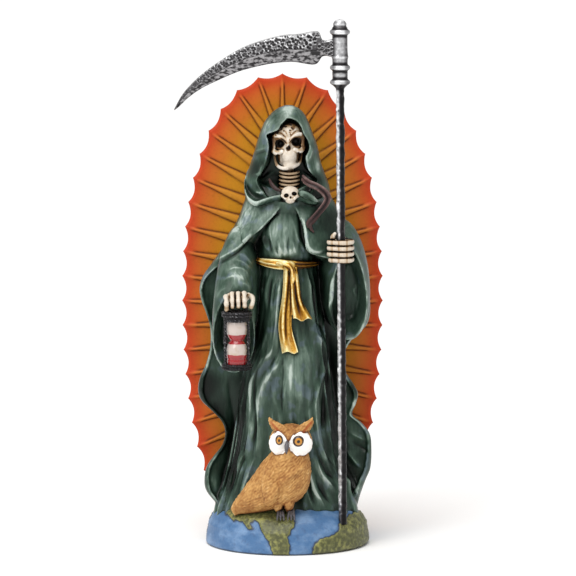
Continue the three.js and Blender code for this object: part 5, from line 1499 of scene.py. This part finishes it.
def makeBlade(random):
    columns, rows = 440, 42
    along = np.linspace(0, 1, columns)
    upperOut, upperRise = columnsOf(bladeUpper, columns)
    lowerOut, lowerRise = columnsOf(bladeLower, columns)
    part = np.linspace(0, 1, rows)[None]  # 0 at the ground edge, 1 at the back
    x = -scythe["reach"] * (upperOut + (lowerOut - upperOut) * (1 - part))
    z = scythe["reach"] * (lowerRise + (upperRise - lowerRise) * part)
    bevel = 0.36 * smooth(0.1, 0.2, along)[:, None]
    thick = scythe["thick"] / 2 * (1.1 - 0.6 * upperOut)
    ground = 0.12 + 0.88 * smooth(0, 1, part / np.maximum(bevel, 0.05))
    ridge = 0.16 * bell(part - bevel - 0.02, 0.03)
    crown = 1 - 0.35 * smooth(0.9, 1, part)
    half = thick * (ground * crown + ridge)
    hammered = smooth(bevel + 0.02, bevel + 0.12, part)
    blows = np.zeros((2, columns, rows))
    for _ in range(1150):
        side = int(random.integers(2))
        across, size = -random.uniform(0.02, 1) * scythe["reach"], random.uniform(0.7, 1.4)
        column = int(np.argmin(np.abs(x[:, 20] - across)))
        up = random.uniform(z[column, 0], z[column, -1])
        near = slice(max(column - 14, 0), column + 15)
        away = ((x[near] - across) ** 2 + (z[near] - up) ** 2) / size**2
        blows[side, near] = np.minimum(blows[side, near], -0.4 * np.clip(1 - away, 0, 1))
    root = staffFoot + staffLength * scythe["root"]

    def bothSides(front, back):
        return np.concatenate([front, back[:, ::-1]], 1)
    depths = half + blows * hammered * (thick / 1.8)
    sides = [np.stack([staffLine(root) + x, staff["depth"] + way * depth, root + z], -1)
             for way, depth in zip((-1, 1), depths)]
    polish = 1 - hammered + 0 * x
    edge = 0.75 * np.maximum(smooth(0.93, 0.99, part), smooth(0.07, 0.01, part)) + 0 * x
    paint = Paint("blade_paint", Roughness=0.32, Metallic=0.45)
    fine = paint.field("fine") + 0.12 * (paint.noise(0.9, 5) - 0.5)
    iron = paint.ramp(scythe["iron"], 0.54 + 4.6 * fine)
    cloudy = paint.between(paint.noise(3, 5, (1, 1, 2)), 0.43, 0.6)
    smoothIron = paint.mix(cloudy, scythe["darkIron"], scythe["paleIron"])
    iron = paint.mix(paint.field("polish"), iron, smoothIron)
    paint.feed("Base Color", paint.mix(paint.field("edge"), iron, scythe["edge"]))
    paint.feed("Roughness", 0.28 + 0.2 * paint.noise(2))
    makePiece("blade", skin(bothSides(*sides)), paint, "scythe", polish=bothSides(polish, polish).ravel(),
              edge=bothSides(edge, edge).ravel())


ironRandom = np.random.default_rng(21)
makeStaff(ironRandom)
makeBlade(ironRandom)


# The owl

owl = {"footX": -1.0, "footY": -38.5, "feathers": 12000,
       "tones": [(0, rgb(52, 24, 12)), (0.3, rgb(104, 58, 28)), (0.55, rgb(158, 108, 58)),
                 (0.8, rgb(202, 154, 92)), (1, rgb(236, 200, 146))],
       "rust": rgb(150, 62, 28), "rim": rgb(70, 36, 20), "patch": rgb(118, 74, 40),
       "white": rgb(250, 246, 242), "amber": rgb(196, 134, 44), "ring": rgb(54, 30, 14),
       "horn": [(0, rgb(5, 5, 6)), (0.6, rgb(20, 18, 20)), (1, rgb(96, 92, 96))]}
# Sections of the body from the tail up: middle across, middle depth, height, half width, half depth, lean
owlBody = [[-29.8, 10, 1.6, 2.4, 2, 60], [-27.5, 9, 3.9, 3.8, 3, 58], [-21.3, 6.4, 7.3, 7, 5.4, 51],
           [-11.4, 3, 13.4, 11.7, 8, 43], [-3, 1, 19.8, 14.9, 9.6, 33], [0.6, 0, 27, 14.4, 9.6, 18],
           [2.2, -0.4, 34, 12, 9, 8], [3, -0.6, 40, 9, 7.6, 0]]
owlGround = float(globeHeight(math.hypot(owl["footX"], owl["footY"])))
discs = [(-4, 43.7, 5.2, 6.4), (8.9, 43.3, 6.6, 6.6)]  # across, up, half width, half height
eyes = [(-3.4, 45.8, 2.0, 2.7), (7.5, 45.2, 2.9, 2.9)]


def onOwl(x, y, z):
    return (owl["footX"] + x, owl["footY"] + y, owlGround + z)


def owlForm():
    x, y, z, across, deep, lean = columnsOf(owlBody, 90)
    turn = turns(72)
    side = across * np.sin(turn)
    tilt = lean * radian
    body = np.stack([x + side * np.cos(tilt), y - deep * np.cos(turn), z - side * np.sin(tilt)], -1)
    forms = [skin(body + np.array(onOwl(0, 0, 0)))]
    forms += [ball(onOwl(3.2, 0.4, 44.2), (12.1, 9.6, 9.6)), ball(onOwl(-8.4, -6.6, 20), (5, 3.6, 11.6))]
    for s, (dx, dz, rx, rz) in zip((-1, 1), discs):
        ear = [onOwl(3.6 + s * 3.4, -5.2, 49.6), onOwl(3.6 + s * 7.6, -3.4, 52),
               onOwl(3.4 + s * 10.6, -2, 54.6), onOwl(3.2 + s * 12.2, -1.6, 57.6)]
        forms.append(ball(onOwl(dx, -6.6, dz), (rx, 3.4, rz)))
        forms.append(tube(ear, [2.6, 3, 2.2, 0.5], 20, 30, 0.75, (0, 1, 0)))
        forms.append(ball(onOwl(3 * s - 1, 0, 9.6), (3.2, 3.8, 6.4)))
    points, faces = fused(forms, 0.34)
    return relaxed(points, faces, 3), faces


def featherRelief(local, inDisc, down, random):  # tufts that lie along the body, smaller on the head
    head = 36
    places, chosen = local.tolist(), []
    for index in random.permutation(len(places))[:owl["feathers"]]:
        place = places[index]
        spacing = 1.7 if place[2] > head else 2.6
        if inDisc[index] < -0.1 and all(math.dist(place, other) > spacing for other in chosen):
            chosen.append(place)
    tuft = np.zeros(len(local))
    for centre in chosen:
        size = (0.6 if centre[2] > head else 1) * random.uniform(0.7, 1.35)
        near = np.nonzero(np.abs(local - centre).max(1) < 3.6)[0]
        away = local[near] - centre
        way = down + random.normal(size=3) * 0.3 if centre[2] < head else np.array([0, 0, -1.0])
        way = way / np.linalg.norm(way)
        long = away @ way
        wide = np.sqrt(np.maximum((away**2).sum(1) - long**2, 0))
        inside = 1 - ((long - 0.5) / (2.3 * size)) ** 2 - (wide / (1.5 * size)) ** 2
        height = np.sqrt(np.clip(inside, 0, 1)) * (0.45 + 0.55 * smooth(-1.6, 1.8, long)) * 0.72 * size
        tuft[near] = np.maximum(tuft[near], height)
    lumps = np.zeros(len(local))
    for _ in range(60):
        wave = random.normal(size=3)
        wave *= 2 * math.pi / random.uniform(1.1, 2.5) / np.linalg.norm(wave)
        wave -= 0.45 * (wave @ down) * down  # longer along the feathers
        lumps += np.sin(local @ wave + random.uniform(0, 7)) / 8
    return 0.26 * tuft - 0.06 + 0.13 * lumps


def makeOwlBody():
    points, faces = owlForm()
    local = points - np.array(onOwl(0, 0, 0))
    x, y, z = local.T
    inDisc = np.full(len(points), -9.0)
    for dx, dz, rx, rz in discs:
        inside = 1 - np.hypot((x - dx) / rx, (z - dz) / rz)
        inDisc = np.maximum(inDisc, np.where(y < -3, inside, -9))
    normal = normalsOf(points, faces)
    down = np.array([-0.72, 0, -0.69])
    wing = 0.69 * x - 0.72 * z + 15.5  # across the way the wing lies
    wing = 0.9 * bell(wing - 1.2 * np.sin(z / 5), 2.2) * smooth(5, 10, z) * smooth(34, 26, z)
    relief = featherRelief(local, inDisc, down, np.random.default_rng(5)) + 1.15 * wing
    relief *= smooth(0.02, -0.12, inDisc) * smooth(3, 7, z)
    for dx, dz, rx, rz in discs:
        relief += 0.08 * np.sin(22 * np.arctan2(z - dz, x - dx)) * smooth(0, 0.2, inDisc)
    points = stood(points + normal * relief[:, None], 0.3)
    beside = np.abs(x - 3.4)
    inEar = smooth(0.9, 0.4, np.abs(z - 50.6 - 1.05 * (beside - 7.2)) / 1.6)
    inEar = inEar * smooth(-2, -3.6, y) * smooth(4, 6, beside)
    serrate = inDisc + 0.05 * np.sin(17 * np.arctan2(z - 43.5, x - 2.4))
    paint = Paint("owl_paint", Roughness=0.62, Specular_IOR_Level=0.25)
    speck = paint.noise(1.3, 4)
    cloud = paint.noise(7)
    # painted shade in hollows, and paler on raised feathers and darker between them: painted light and shade
    tone = 0.56 * paint.between(paint.field("open"), 0.3, 0.97)
    tone = tone + 0.24 * paint.between(paint.field("fine"), -0.12, 0.14)
    tone = tone - 0.02 + 0.3 * (speck - 0.5) + 0.8 * (cloud - 0.5)
    colour = paint.ramp(owl["tones"], tone)
    colour = paint.mix(paint.between(paint.noise(3.4, 3), 0.54, 0.68) * 0.4, colour, owl["patch"])
    colour = paint.mix(paint.field("ear") * 0.7, colour, owl["rust"])
    colour = paint.mix(paint.between(paint.field("disc"), -0.14, -0.03) * 0.6, colour, owl["rim"])
    colour = paint.mix(paint.between(paint.field("disc"), -0.02, 0.02), colour, owl["white"])
    paint.feed("Base Color", colour)
    paint.feed("Roughness", 0.55 + 0.2 * speck)
    paint.bump(speck, 0.15)
    makePiece("owlBody", (points, faces), paint, "owl", disc=serrate, ear=inEar)


def makeOwlEyes():
    for index, (dx, dz, rx, rz) in enumerate(eyes):
        middle = onOwl(dx, -9.2, dz)
        form = ball(middle, (rx * 1.12, 1.7, rz * 1.12), 40, 28)
        x, y, z = (form[0] - middle).T
        paint = Paint(f"eye_paint_{index}", Roughness=0.3, Coat_Weight=0.3)
        ring = paint.field("ring") + 0.04 * (paint.noise(1) - 0.5)
        colour = paint.mix(paint.between(ring, 0.68, 0.76), owl["amber"], owl["ring"])
        colour = paint.mix(1 - paint.between(ring, 0.28, 0.36), colour, rgb(12, 8, 6))
        paint.feed("Base Color", colour)
        makePiece(f"owlEye{index + 1}", form, paint, "owl", ring=np.hypot(x / rx, z / rz))


def makeOwlHorn():
    beak = [onOwl(1.1, -8.8, 45), onOwl(0.9, -11.4, 43), onOwl(0.7, -12.2, 40.8), onOwl(0.7, -11.4, 38.5)]
    beak = tube(beak, [0.7, 1.3, 1.1, 0.4], 20, 30)
    makePiece("owlBeak", beak, aged("beak_paint", owl["horn"], 1, 0.3), "owl")
    claw = [(0.5, 0.5, 5.4), (1.2, -2.6, 3.4), (1.7, -4.6, 1.4), (1.9, -5.2, -0.5)]
    claws = []
    for s in (-1, 1):
        for toe in (-1, 0, 1):
            line = [onOwl(3 * s + 0.4 + across * toe, depth, up) for across, depth, up in claw]
            claws.append(tube(line, [1.1, 0.9, 0.75, 0.35], 14, 24))
    points, faces = fused(claws, 0.25)
    points = relaxed(stood(points, 0.1), faces, 1)
    makePiece("owlClaws", (points, faces), aged("claw_paint", owl["horn"], 1, 0.35), "owl")


makeOwlBody()
makeOwlEyes()
makeOwlHorn()
finishPieces()
